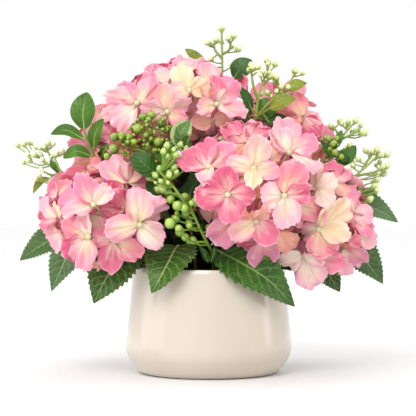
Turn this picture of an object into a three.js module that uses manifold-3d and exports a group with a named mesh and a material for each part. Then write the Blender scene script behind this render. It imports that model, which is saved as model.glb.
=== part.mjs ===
// Potted hydrangea: a glazed ceramic pot, a fill of potting soil, eight mop-head flower heads on their
// stems, broad toothed leaves, branching berry sprays and one leaf sprig. Millimetres, +Z up.
// The origin is the centre of the pot's flat underside; -Y is the side that faces a viewer.
import * as THREE from "three";
import { mergeVertices } from "three/addons/utils/BufferGeometryUtils.js";
import Module from "manifold-3d";

// ---------------------------------------------------------------- driving dimensions, mm
const POT_SEGMENTS = 36;
const POT_BASE_R = 52.6; // flat underside
const POT_MAX_R = 70.0; // widest, low on the side
const POT_RIM_R = 64.2; // outside, at the lip
const POT_HEIGHT = 88.8;
const POT_WALL = 3.4;
const POT_FLOOR = 6.0;
const SOIL_TOP = 74.0;
const SOIL_GAP = 0.5; // soil to pot
const GAP = 0.45; // between neighbouring plant pieces
const STEM_R = 2.3; // a hydrangea stem
const SPRAY_STEM_R = 1.15; // a berry spray's main stem
const TWIG_R = 0.62; // the twig that carries one berry
const BERRY_SIDES = 4;
const BERRY_SPACING = 8.0; // closer berries count as one
const PETIOLE_R = 1.3;
const LEAF_THICK = 1.5; // at the midrib
const SMALL_LEAF_THICK = 1.0;
const FLORETS_PER_HEAD = 17; // swellings that stand for the florets on a head's surface
const FLORET_RELIEF = 8.0;
const HEAD_DETAIL = 4;
const STEM_SOCKET = 10; // how far a stem reaches into its flower head
const HOLLOW = { centre: [0, 0, 118], radii: [26, 26, 62] }; // open space under the heads, where the stems fan out

// flower heads: centre, radii, foot of the stem on the soil, and how far out the stem bends
const HEADS = [
  { centre: [-87, -45, 132], radii: [55, 48, 47], foot: [-12, -7], bend: [-24, -12, 98] },
  { centre: [-26, -6, 222], radii: [60, 52, 46], foot: [-3, 1], bend: [-5, 0, 120] },
  { centre: [34, -48, 155], radii: [61, 55, 58], foot: [7, -12], bend: [11, -18, 100] },
  { centre: [95, -15, 129], radii: [48, 47, 47], foot: [14, -3], bend: [30, -5, 99] },
  { centre: [57, 25, 206], radii: [49, 47, 47], foot: [9, 5], bend: [16, 8, 120] },
  { centre: [-84, 22, 188], radii: [40, 38, 39], foot: [-14, 4], bend: [-28, 3, 122] },
  { centre: [-62, 60, 142], radii: [51, 50, 50], foot: [-9, 12], bend: [-17, 19, 100] },
  { centre: [44, 68, 150], radii: [54, 50, 52], foot: [6, 14], bend: [11, 21, 100] },
];

// broad leaves: carrying stem, how far up it, a point that the petiole passes (or halfway), then blade base, two points on the midrib, tip; half width; upper side's direction
const LEAVES = [
  { stem: 1, at: 0.3, rib: [[-25.3, -36, 107.6], [-32.9, -60, 94.5], [-39.1, -68, 82.8], [-46, -69, 70.7]], half: 20, up: [-0.25, -0.85, 0.5] },
  { stem: 1, at: 0.34, via: [-52, -20, 113], rib: [[-65.9, -30, 107.4], [-75.8, -42, 93.9], [-85.9, -50, 77.1], [-93.9, -52, 60]], half: 21, up: [-0.2, -0.9, 0.4] },
  { stem: 1, at: 0.4, rib: [[-104.2, -16, 113.8], [-115.7, -18, 102.1], [-124.6, -20, 83.9], [-131.8, -22, 67.7]], half: 15, up: [-0.35, -0.85, 0.4] },
  { stem: 6, at: 0.22, rib: [[-120.9, 2, 116.8], [-133.6, 2, 111.7], [-147.8, 0, 103.3], [-160.4, -3, 93.7]], half: 14, up: [-0.15, -0.75, 0.65] },
  { stem: 4, at: 0.4, rib: [[116.3, 12, 142.2], [129.1, 12, 141.4], [145.9, 10, 136.2], [160.7, 8, 126.9]], half: 14, up: [0.2, -0.8, 0.6] },
  { stem: 4, at: 0.34, rib: [[115.8, -2, 111.8], [125.7, -4, 101.7], [136.5, -6, 88.3], [146.6, -8, 74.7]], half: 15, up: [0.3, -0.85, 0.4] },
  { stem: 4, at: 0.28, rib: [[81.6, -8, 103.5], [91.3, -14, 93.7], [101, -18, 81.3], [110, -20, 67.6]], half: 15, up: [0.2, -0.9, 0.4] },
  { stem: 3, at: 0.3, via: [6, -29.5, 103.5], rib: [[10.8, -42, 102], [27.5, -58, 93.7], [47.7, -58, 80.8], [71.3, -46, 57.2]], half: 22, up: [0.15, -0.9, 0.45] },
  { stem: 7, at: 0.34, rib: [[-72, 52, 104], [-88, 68, 105], [-103, 83, 98], [-114, 94, 86]], half: 19, up: [-0.4, 0.4, 0.8] },
  { stem: 7, at: 0.28, rib: [[-28, 58, 100], [-34, 78, 96], [-40, 94, 80], [-44, 104, 58]], half: 21, up: [-0.2, 0.8, 0.5] },
  { stem: 8, at: 0.28, rib: [[18, 58, 100], [24, 80, 96], [32, 96, 80], [38, 104, 60]], half: 21, up: [0.2, 0.8, 0.5] },
  { stem: 8, at: 0.34, rib: [[74, 48, 104], [90, 62, 105], [104, 76, 99], [115, 87, 88]], half: 19, up: [0.4, 0.4, 0.8] },
];

// berry sprays: foot on the soil, stems (the first rises from the foot), berries as x, y, z, radius, leaves as base, middle, tip, half width
const SPRAYS = [
  {
    foot: [-23, 4],
    stems: [
      [[-75.4, 6, 132.9], [-102.5, 4, 145.6], [-117.3, 4, 156.3], [-127.9, 4, 168.5], [-133.8, 3, 174.1], [-142.9, 2, 181.1]],
      [[-127.9, 4, 168.5], [-133.2, 6, 179.6], [-137.1, 6, 188.1]],
      [[-117.3, 4, 156.3], [-125.8, 0, 170.9], [-130.5, 0, 181.1]],
    ],
    berries: [
      [-157, 3.1, 193, 2.3], [-153.2, 5.4, 194.4, 1.7], [-146, 5.5, 190.9, 2.3], [-147.5, -2.1, 184.4, 2.4],
      [-142.9, 5.1, 183.1, 2.3], [-152.7, 5.5, 179.6, 2.4], [-140, 10.5, 189.3, 2.2], [-136.7, 2.5, 193.9, 2.5],
      [-133, 6.7, 193.3, 1.6], [-131.1, 5, 184, 1.6], [-124.8, 1.4, 185.9, 2.4], [-143.7, -2.1, 165.1, 2.7],
      [-141.2, 0.1, 171.1, 1.7], [-132.1, 3.4, 154.3, 3], [-127.1, -0.8, 159.3, 2.2], [-115.3, -1.3, 164.3, 3],
    ],
    leaves: [
      { rib: [[-134.6, 3, 163.7], [-142.2, 3, 161.7], [-148.6, 0, 151.5]], half: 3.2 },
    ],
  },
  {
    foot: [4, 9],
    stems: [
      [[6.2, 20, 188.6], [9.7, 28, 223.5], [11.7, 32, 259.3], [11.5, 32, 275.8], [11.1, 32, 290.5]],
      [[11.5, 32, 270.6], [17.5, 30, 275.6], [19.2, 29, 282.4]],
      [[11.5, 32, 267.1], [5.4, 34, 276], [4.5, 34, 281.2]],
    ],
    berries: [
      [11.1, 32.5, 294.6, 2.7], [21.7, 29.4, 287.8, 2.6], [16.7, 23.2, 285, 2.3], [-0.8, 28.5, 281.9, 2.6],
      [6.5, 35.8, 284.5, 2.5], [11.4, 38, 283, 2], [20.3, 35, 279, 1.8], [25.7, 30.7, 276.7, 2.7],
      [1.9, 34.7, 268, 2.2], [20.8, 27.9, 262.5, 2.6],
    ],
    leaves: [
      { rib: [[-2.9, 34, 263], [-10.2, 36, 269.3], [-20.5, 38, 277.3]], half: 4.6 },
      { rib: [[21.7, 24, 250.8], [27.7, 22, 259.2], [37.2, 22, 266.1]], half: 9.0 },
    ],
  },
  {
    foot: [16, -14],
    stems: [
      [[16.2, -2, 170.9], [31.1, -14, 199.8], [38.4, -22, 213.5], [40.8, -23, 228.4], [44.2, -21, 241.9], [49.3, -18, 252.1]],
      [[38.4, -22, 213.5], [47.4, -24, 223.4], [55.8, -22, 231.8], [60.3, -19, 239.8]],
      [[40.8, -23, 228.4], [36.7, -22, 241.8], [35.1, -20, 255.3]],
      [[40.8, -22, 215.2], [55, -22, 225.2], [67, -14, 242.5], [72.3, -8, 252.2]],
    ],
    berries: [
      [35, -21.9, 257.1, 2.6], [41.3, -17.9, 256.3, 2.4], [48.5, -12.3, 262.1, 2.6], [55.6, -12.6, 259.1, 2.7],
      [45, -22.9, 251.7, 2.2], [54.6, -15.1, 248.4, 2.9], [50.4, -17.1, 247.6, 2.2], [55.2, -14.4, 244.3, 2.2],
      [60, -24.5, 239.3, 2.7], [59.3, -18.5, 234.9, 2.4], [49.2, -18.5, 234.6, 2.6], [72.5, -5.1, 254, 3],
    ],
    leaves: [
      { rib: [[63.6, -16, 237.3], [72.8, -16, 241.5], [82, -15, 243.2]], half: 5.0 },
      { rib: [[51.6, -23, 221], [60.5, -27, 227.3], [72, -28, 228.9]], half: 7.0 },
      { rib: [[35.8, -24, 220.1], [30.8, -27, 230.6], [25, -27, 239.7]], half: 4.2 },
    ],
  },
  {
    foot: [22, 4],
    stems: [
      [[60.7, 10, 145.6], [93.1, 10, 172.9], [103.1, 8, 186.4], [109.7, 6, 194.9], [116.5, 6, 203.4], [121.6, 6, 209.3]],
      [[109.7, 6, 194.9], [109.1, 8, 203.5], [105.2, 8, 207.7]],
      [[109.7, 6, 194.9], [119.7, 3, 200.7], [126.3, 2, 204]],
    ],
    berries: [
      [104.6, 11, 208.1, 2.6], [111.8, 11.6, 213.1, 2.5], [118.8, 9.8, 211.8, 2.5], [124.5, 4.4, 212.7, 2.7],
      [125, 5.9, 204.5, 2.2], [129.8, 4, 202.8, 2.9], [119.3, 2.8, 191.8, 2.4], [107.6, 11.9, 185.6, 2.8],
      [113.3, 9, 182.5, 2.1], [99.2, 4.1, 197.8, 2.2], [103.6, 6.4, 196.8, 2.3], [106.8, 2.2, 194.7, 2.2],
    ],
    leaves: [
      { rib: [[106.4, 6, 177], [115.3, 2, 181.1], [124.4, 0, 191.6]], half: 7.0 },
    ],
  },
  {
    foot: [21, -9],
    stems: [
      [[68.8, 2, 132.9], [106.7, 0, 154], [119.4, -3, 162.6], [129.1, -4, 170.8], [135.8, -4, 176.7], [141.7, -4, 182.6]],
      [[129.1, -4, 170.8], [134.6, 0, 179.4], [138, 0, 183.6]],
      [[124, -4, 165.8], [135.4, -8, 168.2], [145.5, -8, 170.7]],
    ],
    berries: [
      [132.9, 0.2, 187.2, 2.6], [138.1, 2.3, 185.2, 2.2], [141.6, -7.8, 187.9, 2.6], [150.1, -5.5, 183.7, 2.7],
      [126.4, -1.1, 179.8, 2.4], [121.6, -4.3, 174.4, 2.3], [144.7, 1, 177.5, 2.2], [149.4, -12, 174.1, 2.8],
      [144, -9.8, 171.8, 2.2], [147.4, -4.2, 167.9, 2.8], [141.6, -7.9, 162.7, 2.6],
    ],
    leaves: [
    ],
  },
  {
    foot: [24, -3],
    stems: [
      [[51.5, -6, 103.5], [101.6, -10, 132.9], [118, -14, 145.5], [127.1, -14, 151.8], [133.9, -14, 154.7]],
    ],
    berries: [
      [126.2, -11.5, 157.1, 2.9], [138.9, -8.5, 156.6, 3], [134.3, -12.6, 145.9, 2.9],
    ],
    leaves: [
    ],
  },
  {
    foot: [2, -24],
    stems: [
      [[4.2, -36, 94.5], [2.4, -48, 103], [-4.7, -66, 117.2], [-11, -76, 131.3], [-14.9, -78, 140.4]],
      [[-11, -76, 131.7], [-18.1, -80, 141.2], [-24.9, -80, 151.5], [-32.4, -78, 160.2], [-38.9, -74, 167.4]],
      [[-2.3, -60, 112.2], [-10.3, -66, 111.6]],
    ],
    berries: [
      [-39.1, -70.9, 169.1, 3], [-42.4, -71.8, 164.3, 2.9], [-37.6, -83, 159.6, 2], [-36.3, -78.5, 153.6, 3.4],
      [-31.2, -83.9, 164.6, 2.4], [-27.6, -74.5, 170.1, 2.8], [-30, -79.6, 145.3, 2.4], [-26.4, -77.5, 180.4, 2.6],
      [-19.2, -75.9, 147, 2.8], [-24.6, -84.2, 140.4, 3], [-18.2, -74.2, 143.3, 2.6], [-10.5, -79.9, 143.5, 2.8],
      [-18.3, -75.1, 134.7, 2.5], [-26.1, -76.7, 130.2, 2.5], [-30.4, -84.5, 126.7, 3.2], [-22.9, -68.8, 119.6, 3],
      [-15.6, -72.5, 126.1, 2.4], [0.1, -69.2, 122.7, 2.4], [-12.9, -65.4, 113, 2.4], [-33.4, -76.3, 187.6, 2.8],
      [-36.1, -77.7, 183, 2.5], [-23.1, -68.3, 188.8, 2.6],
    ],
    leaves: [
      { rib: [[-0.7, -50, 95], [-3.9, -58, 102.5], [-7.9, -62, 108.3]], half: 4.6 },
      { rib: [[1.8, -50, 95], [3.8, -56, 101.7], [4.6, -60, 108.2]], half: 3.6 },
    ],
  },
  {
    foot: [-9, -19],
    stems: [
      [[-15.7, -20, 124.7], [-26.9, -40, 153.5], [-37.1, -52, 171.2], [-41.1, -54, 184.1], [-44.4, -54, 193.8], [-46.8, -54, 203.5]],
      [[-37.1, -52, 171.2], [-51.5, -58, 183.9], [-65.2, -58, 187.2], [-71.6, -58, 192]],
      [[-41.1, -54, 184.1], [-35.5, -52, 193.9], [-33.1, -52, 201.2]],
      [[-44.4, -54, 193.8], [-53.1, -58, 200.1], [-55.5, -58, 206.5]],
    ],
    berries: [
      [-53.5, -54.8, 212, 3.2], [-46.6, -55.4, 213.6, 3.3], [-38.8, -47.2, 207.6, 3.9], [-32.8, -47.8, 202.8, 3.4],
      [-57, -60.7, 202.6, 3.8], [-40.6, -58, 192, 3.7], [-76.1, -52.9, 196, 3.5], [-70.1, -59.7, 197.3, 3],
      [-64.6, -57.8, 195.6, 3], [-76.4, -59.2, 186.2, 3.8], [-49.8, -54.1, 186.4, 3.3], [-58.1, -54.3, 186.9, 2.8],
      [-50.7, -57.6, 197.7, 2.6], [-60.1, -61.8, 191.8, 2.4],
    ],
    leaves: [
      { rib: [[-41.5, -66, 166.8], [-50.1, -72, 172.3], [-60.5, -70, 182.7]], half: 9.8 },
      { rib: [[-20.5, -61, 187.9], [-22.3, -67, 198], [-15.1, -64, 209]], half: 8.2 },
      { rib: [[-31.2, -62, 146.8], [-40.7, -66, 151.6], [-50.4, -64, 159.7]], half: 7.0 },
    ],
  },
  {
    foot: [0, 25],
    stems: [
      [[-15.3, 57, 131.6], [-19.3, 89.2, 158.9], [-18.5, 99.4, 172.4], [-17.3, 106.2, 180.9], [-18.2, 112.9, 189.4], [-18.8, 118, 195.3]],
      [[-17.3, 106.2, 180.9], [-19.2, 105.3, 189.5], [-18.8, 101.4, 193.7]],
      [[-17.3, 106.2, 180.9], [-15.6, 116.4, 186.7], [-15.4, 123.1, 190]],
    ],
    berries: [
      [-21.7, 100.5, 194.1, 2.6], [-23.1, 107.6, 199.1, 2.5], [-22.2, 114.7, 197.8, 2.5], [-17.5, 121, 198.7, 2.7],
      [-19.1, 121.3, 190.5, 2.2], [-17.8, 126.3, 188.8, 2.9], [-15.3, 116.1, 177.8, 2.4], [-22.9, 103.3, 171.6, 2.8],
      [-20.7, 109.4, 168.5, 2.1], [-14.2, 96, 183.8, 2.2], [-17, 100, 182.8, 2.3], [-13.2, 103.7, 180.7, 2.2],
    ],
    leaves: [
      { rib: [[-16.9, 102.9, 163], [-14, 112.2, 167.1], [-13.2, 121.5, 177.6]], half: 7.0 },
    ],
  },
  {
    foot: [-4, 17],
    stems: [
      [[-13, 23.8, 164.9], [-19.9, 41.7, 193.8], [-22.3, 52.3, 207.5], [-23.8, 54.3, 222.4], [-27.8, 54.3, 235.9], [-33.7, 54.2, 246.1]],
      [[-22.3, 52.3, 207.5], [-29, 58.5, 217.4], [-37.3, 61, 225.8], [-42.7, 60.6, 233.8]],
      [[-23.8, 54.3, 222.4], [-20.8, 51.4, 235.8], [-20.4, 48.9, 249.3]],
      [[-24.3, 53.5, 209.2], [-36.6, 60.6, 219.2], [-51, 59.6, 236.5], [-58.6, 57.1, 246.2]],
    ],
    berries: [
      [-19.4, 50.5, 251.1, 2.6], [-26.8, 50.2, 250.3, 2.4], [-35.9, 48.9, 256.1, 2.6], [-41.9, 52.7, 253.1, 2.7],
      [-27.5, 56.3, 245.7, 2.2], [-39.7, 54.4, 242.4, 2.9], [-35.1, 54, 241.6, 2.2], [-40.6, 54.1, 238.3, 2.2],
      [-39.7, 65.2, 233.3, 2.7], [-42.1, 59.7, 228.9, 2.4], [-33.4, 54.6, 228.6, 2.6], [-60.2, 54.7, 248, 3],
    ],
    leaves: [
      { rib: [[-47.1, 59.7, 231.3], [-55, 64.3, 235.5], [-63.5, 68, 237.2]], half: 5.0 },
      { rib: [[-33.2, 59.7, 215], [-38.9, 67.6, 221.3], [-48.4, 74.2, 222.9]], half: 7.0 },
      { rib: [[-19, 52.7, 214.1], [-13.2, 52.8, 224.6], [-8.2, 49.9, 233.7]], half: 4.2 },
    ],
  },
];

// the leaf sprig: foot, stem, and its leaves
const SPRIG = {
  foot: [-20, 12],
  stem: [[-66.8, 4, 132.9], [-85.2, 0, 157.4], [-93, -9, 174.9], [-98.5, -14, 189], [-104.2, -16, 203.1]],
  leaves: [
    { rib: [[-103.9, -16, 203.1], [-104.9, -17, 218.9], [-101.7, -14, 235.6]], half: 10.2 },
    { rib: [[-100.9, -15, 194.8], [-119.1, -17, 203.8], [-133.8, -14, 200.2]], half: 6.0 },
    { rib: [[-96.1, -13, 185.7], [-94.8, -19, 200.4], [-86.8, -22, 214.4]], half: 6.6 },
    { rib: [[-95.3, -12, 181.5], [-110.7, -18, 186.3], [-122.8, -16, 179.7]], half: 6.2 },
    { rib: [[-93, -9, 174.9], [-88.5, -14, 184.8], [-83.2, -18, 193.8]], half: 4.4 },
  ],
};

// ---------------------------------------------------------------- solids
const wasm = await Module();
wasm.setup();
const V = (p) => new THREE.Vector3(p[0], p[1], p[2]);

function solid(geometry) {
  const g = (geometry.index ? geometry.toNonIndexed() : geometry).clone();
  for (const name of Object.keys(g.attributes)) if (name !== "position") g.deleteAttribute(name);
  const m = mergeVertices(g, 1e-4);
  return new wasm.Manifold(
    new wasm.Mesh({
      numProp: 3,
      vertProperties: new Float32Array(m.attributes.position.array),
      triVerts: new Uint32Array(m.index.array),
    }),
  );
}
function geometryOf(manifold) {
  const m = manifold.getMesh();
  const xyz = new Float32Array(m.numVert * 3);
  for (let i = 0; i < m.numVert; i++)
    for (let k = 0; k < 3; k++) xyz[3 * i + k] = m.vertProperties[m.numProp * i + k];
  const g = new THREE.BufferGeometry();
  g.setAttribute("position", new THREE.BufferAttribute(xyz, 3));
  g.setIndex(new THREE.BufferAttribute(new Uint32Array(m.triVerts), 1));
  const flat = g.toNonIndexed();
  flat.computeVertexNormals();
  return flat;
}
const join = (list) => list.reduce((a, b) => a.add(b));
function largest(manifold) {
  return manifold.decompose().reduce((a, b) => (b.volume() > a.volume() ? b : a));
}
// whether the boxes around two solids come together
function near(a, b) {
  const p = a.boundingBox(),
    q = b.boundingBox();
  return [0, 1, 2].every((k) => p.min[k] < q.max[k] + 1 && q.min[k] < p.max[k] + 1);
}

// A skin over a row of rings with the same number of points, closed by a fan at each end; the last fan may
// rise to an apex.
function loft(rings, apex = null, blade = Infinity) {
  const n = rings[0].length,
    xyz = [],
    index = [];
  for (const ring of rings) for (const p of ring) xyz.push(p.x, p.y, p.z);
  for (let i = 0; i + 1 < rings.length; i++)
    for (let k = 0; k < n; k++) {
      const a = i * n + k,
        b = i * n + ((k + 1) % n),
        c = a + n,
        d = b + n;
      // over a thin blade the lower side is split along the same lines as the upper one, so that the two don't cross
      if (i >= blade && k >= n / 2) index.push(a, b, c, b, d, c);
      else index.push(a, b, d, a, d, c);
    }
  const cap = (ring, first, turn, peak = null) => {
    const c = peak ?? ring.reduce((s, p) => s.add(p), new THREE.Vector3()).divideScalar(n);
    const m = xyz.length / 3;
    xyz.push(c.x, c.y, c.z);
    for (let k = 0; k < n; k++) {
      const a = first + k,
        b = first + ((k + 1) % n);
      turn ? index.push(m, b, a) : index.push(m, a, b);
    }
  };
  cap(rings[0], 0, true);
  cap(rings[rings.length - 1], (rings.length - 1) * n, false, apex);
  const g = new THREE.BufferGeometry();
  g.setAttribute("position", new THREE.Float32BufferAttribute(xyz, 3));
  g.setIndex(index);
  let made = solid(g);
  if (made.volume() < 0) {
    for (let i = 0; i < index.length; i += 3) [index[i + 1], index[i + 2]] = [index[i + 2], index[i + 1]];
    g.setIndex(index);
    made = solid(g);
  }
  return made;
}

// A tube of constant radius along points, with both ends drawn out by `grow`.
function tube(points, radius, sides, steps, grow = 0) {
  const p = points.map((q) => q.clone());
  const a = p[0].clone().sub(p[1]).normalize(),
    n = p.length,
    b = p[n - 1].clone().sub(p[n - 2]).normalize();
  p[0].addScaledVector(a, grow);
  p[n - 1].addScaledVector(b, grow);
  const shape = new THREE.Shape(
    Array.from({ length: sides }, (_, i) => {
      const t = (2 * Math.PI * i) / sides;
      return new THREE.Vector2((radius + grow) * Math.cos(t), (radius + grow) * Math.sin(t));
    }),
  );
  const path = p.length > 2 ? new THREE.CatmullRomCurve3(p, false, "centripetal") : new THREE.LineCurve3(p[0], p[1]);
  return solid(new THREE.ExtrudeGeometry(shape, { extrudePath: path, steps, bevelEnabled: false }));
}

// A leaf: a petiole that widens into a thin blade folded along its midrib.
// rib: points from the blade's base to its tip. petiole: points that lead to the base, or none.
function leaf({ rib, half, up, petiole = [], petioleR = PETIOLE_R, thick, stations, fold = 0.22, teeth = 0, fine = true, grow = 0 }) {
  const lead = petiole.length ? 3 : 1;
  const all = [...petiole, ...rib];
  const curve = new THREE.CatmullRomCurve3(all, false, "centripetal");
  const total = curve.getLength();
  // arc length where the blade starts
  let blade = 0;
  if (petiole.length) {
    const samples = curve.getSpacedPoints(200);
    let best = 1e9;
    samples.forEach((p, i) => {
      const d = p.distanceTo(rib[0]);
      if (d < best) (best = d), (blade = (i / 200) * total);
    });
  }
  const rings = [];
  const ringAt = (u, w, h) => {
    const c = curve.getPointAt(Math.min(1, Math.max(0, u))),
      t = curve.getTangentAt(Math.min(1, Math.max(0, u))).normalize();
    const side = new THREE.Vector3().crossVectors(up, t).normalize();
    const top = new THREE.Vector3().crossVectors(t, side).normalize();
    const at = (x, y) => c.clone().addScaledVector(side, x).addScaledVector(top, y);
    const lift = w * fold,
      e = h * 0.28;
    if (!fine) return [at(w, lift), at(0, h), at(-w, lift), at(0, -h)];
    return [at(w, lift - e), at(w, lift + e), at(0, h), at(-w, lift + e), at(-w, lift - e), at(0, -h)];
  };
  if (petiole.length)
    for (let i = 0; i < lead; i++) rings.push(ringAt((i / lead) * (blade / total), petioleR + grow, petioleR + grow));
  for (let i = 0; i <= stations; i++) {
    const v = i / stations;
    const outline = Math.pow(Math.sin(Math.PI * Math.pow(Math.min(v * 0.94 + 0.03, 1), 0.72)), 0.8);
    const tooth = teeth && i > 0 && i < stations ? 1 - teeth * (i % 2) : 1;
    const w = Math.max(half * outline * tooth, petiole.length ? petioleR : 0.5) * (i === stations ? 0.12 : 1) + grow;
    const h = (thick / 2) * (1 - 0.6 * v) + grow;
    rings.push(ringAt((blade + v * (total - blade)) / total, Math.max(w, 0.5), h));
  }
  return loft(rings, null, petiole.length ? lead : 0);
}

// One berry with the twig that carries it, from a point inside the stem.
function berryOnTwig(from, at, r, grow = 0) {
  const t = at.clone().sub(from);
  const span = t.length();
  t.normalize();
  const side = new THREE.Vector3(0.31, -0.9, 0.3).cross(t).normalize(),
    top = new THREE.Vector3().crossVectors(t, side);
  const ring = (along, radius) =>
    Array.from({ length: BERRY_SIDES }, (_, i) => {
      const a = (2 * Math.PI * i) / BERRY_SIDES;
      return at
        .clone()
        .addScaledVector(t, along)
        .addScaledVector(side, radius * Math.cos(a))
        .addScaledVector(top, radius * Math.sin(a));
    });
  const rings = [ring(r * 0.1, (r + grow) * 1.06)];
  rings.unshift(ring(-Math.min(r * 0.95 + grow, Math.max(span, 0.5)), (span > r ? TWIG_R : r * 0.4) + grow));
  if (span > r * 1.2) rings.unshift(ring(-span, TWIG_R + grow));
  return loft(rings, at.clone().addScaledVector(t, r + grow));
}

// ---------------------------------------------------------------- pot and soil
function lathe(profile, segments) {
  const g = new THREE.LatheGeometry(
    profile.map((p) => new THREE.Vector2(p[0], p[1])),
    segments,
  );
  g.rotateX(Math.PI / 2);
  let made = solid(g);
  if (made.volume() < 0) {
    const flipped = mergeVertices(stripped(g), 1e-4);
    const a = flipped.index.array;
    for (let i = 0; i < a.length; i += 3) [a[i + 1], a[i + 2]] = [a[i + 2], a[i + 1]];
    made = solid(flipped);
  }
  return made;
}
function stripped(g) {
  const c = g.index ? g.toNonIndexed() : g.clone();
  c.deleteAttribute("normal");
  c.deleteAttribute("uv");
  return c;
}
// the side of the pot, outside, from the underside to just below the lip
const POT_SIDE = [
  [POT_BASE_R, 0],
  [57.6, 1.0],
  [62.4, 5.2],
  [66.6, 11.2],
  [69.2, 17.2],
  [POT_MAX_R, 23.4],
  [69.15, 36],
  [66.8, 57],
  [POT_RIM_R, 85],
];
const POT_LIP = [
  [POT_RIM_R - 0.5, 87.9],
  [POT_RIM_R - 1.8, POT_HEIGHT],
  [POT_RIM_R - POT_WALL, 87.4],
];
const POT_INSIDE = [
  [61.2, 79],
  [63.4, 57],
  [66.2, 25.5],
  [62.6, 13.6],
  [50.0, POT_FLOOR],
];
const potSolid = lathe([[0, 0], ...POT_SIDE, ...POT_LIP, ...POT_INSIDE, [0, POT_FLOOR]], POT_SEGMENTS);
const soilInside = [1, 2, 3, 4].map((i) => [POT_INSIDE[i][0] - SOIL_GAP, POT_INSIDE[i][1] + (i > 2 ? SOIL_GAP : 0)]);
const soilProfile = (grow) => [
  [0, SOIL_TOP + grow],
  [50, SOIL_TOP + grow],
  [61.0, SOIL_TOP - 2.5 + grow],
  ...soilInside,
  [0, POT_FLOOR + SOIL_GAP],
];
const soilSolid = lathe(soilProfile(0), POT_SEGMENTS);

// ---------------------------------------------------------------- flower heads, before their sockets are cut
const radiusAlong = (head, d) =>
  1 / Math.hypot(d.x / head.radii[0], d.y / head.radii[1], d.z / head.radii[2]);
const FLORET_DIRS = Array.from({ length: FLORETS_PER_HEAD }, (_, i) => {
  const z = 1 - (2 * i + 1) / FLORETS_PER_HEAD,
    a = i * Math.PI * (3 - Math.sqrt(5)),
    r = Math.sqrt(1 - z * z);
  return new THREE.Vector3(r * Math.cos(a), r * Math.sin(a), z);
});
// the petals' relief on a head: four lobes around each floret's centre
function relief(d) {
  let best = null,
    angle = 9;
  for (const f of FLORET_DIRS) {
    const a = f.angleTo(d);
    if (a < angle) (angle = a), (best = f);
  }
  const span = 1.9 / Math.sqrt(FLORETS_PER_HEAD);
  const u = new THREE.Vector3(0, 0, 1).cross(best).normalize(),
    w = new THREE.Vector3().crossVectors(best, u);
  const phi = Math.atan2(d.dot(w), d.dot(u));
  const t = Math.min(1, angle / span);
  return FLORET_RELIEF * (Math.sin(Math.PI * Math.min(1, t * 0.9 + 0.1)) * (0.72 + 0.28 * Math.cos(4 * phi)) - 0.35);
}
function headRadius(i, d) {
  const head = HEADS[i],
    c = V(head.centre);
  let r = radiusAlong(head, d) + relief(d) - 3.5;
  HEADS.forEach((other, j) => {
    if (j === i) return;
    const to = V(other.centre).sub(c),
      dist = to.length(),
      n = to.clone().divideScalar(dist);
    const mine = radiusAlong(head, n),
      theirs = radiusAlong(other, n.clone().negate());
    const plane = (dist * mine) / (mine + theirs) - GAP;
    const cos = d.dot(n);
    if (cos > 1e-3) r = Math.min(r, plane / cos);
  });
  // the hollow under the heads
  const h = HOLLOW,
    o = new THREE.Vector3((c.x - h.centre[0]) / h.radii[0], (c.y - h.centre[1]) / h.radii[1], (c.z - h.centre[2]) / h.radii[2]),
    v = new THREE.Vector3(d.x / h.radii[0], d.y / h.radii[1], d.z / h.radii[2]);
  const A = v.dot(v),
    B = 2 * o.dot(v),
    C = o.dot(o) - 1,
    D = B * B - 4 * A * C;
  if (D > 0) {
    const t = (-B - Math.sqrt(D)) / (2 * A);
    if (t > 0) r = Math.min(r, t);
  }
  return r;
}
function headSolid(i) {
  const g = mergeVertices(stripped(new THREE.IcosahedronGeometry(1, HEAD_DETAIL)), 1e-4);
  const p = g.attributes.position,
    c = V(HEADS[i].centre);
  for (let k = 0; k < p.count; k++) {
    const d = new THREE.Vector3().fromBufferAttribute(p, k).normalize();
    const q = c.clone().addScaledVector(d, headRadius(i, d));
    p.setXYZ(k, q.x, q.y, q.z);
  }
  return solid(g);
}

// ---------------------------------------------------------------- stems
const stemCurves = HEADS.map((head, i) => {
  const c = V(head.centre),
    bend = V(head.bend),
    u = bend.clone().sub(c).normalize();
  const end = c.clone().addScaledVector(u, headRadius(i, u) - STEM_SOCKET);
  return new THREE.CatmullRomCurve3(
    [new THREE.Vector3(head.foot[0], head.foot[1], SOIL_TOP - 1), bend, bend.clone().lerp(end, 0.5), end],
    false,
    "centripetal",
  );
});
const stemSolid = (i, grow = 0) => tube(stemCurves[i].getSpacedPoints(6), STEM_R, 7, 7, grow);

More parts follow.
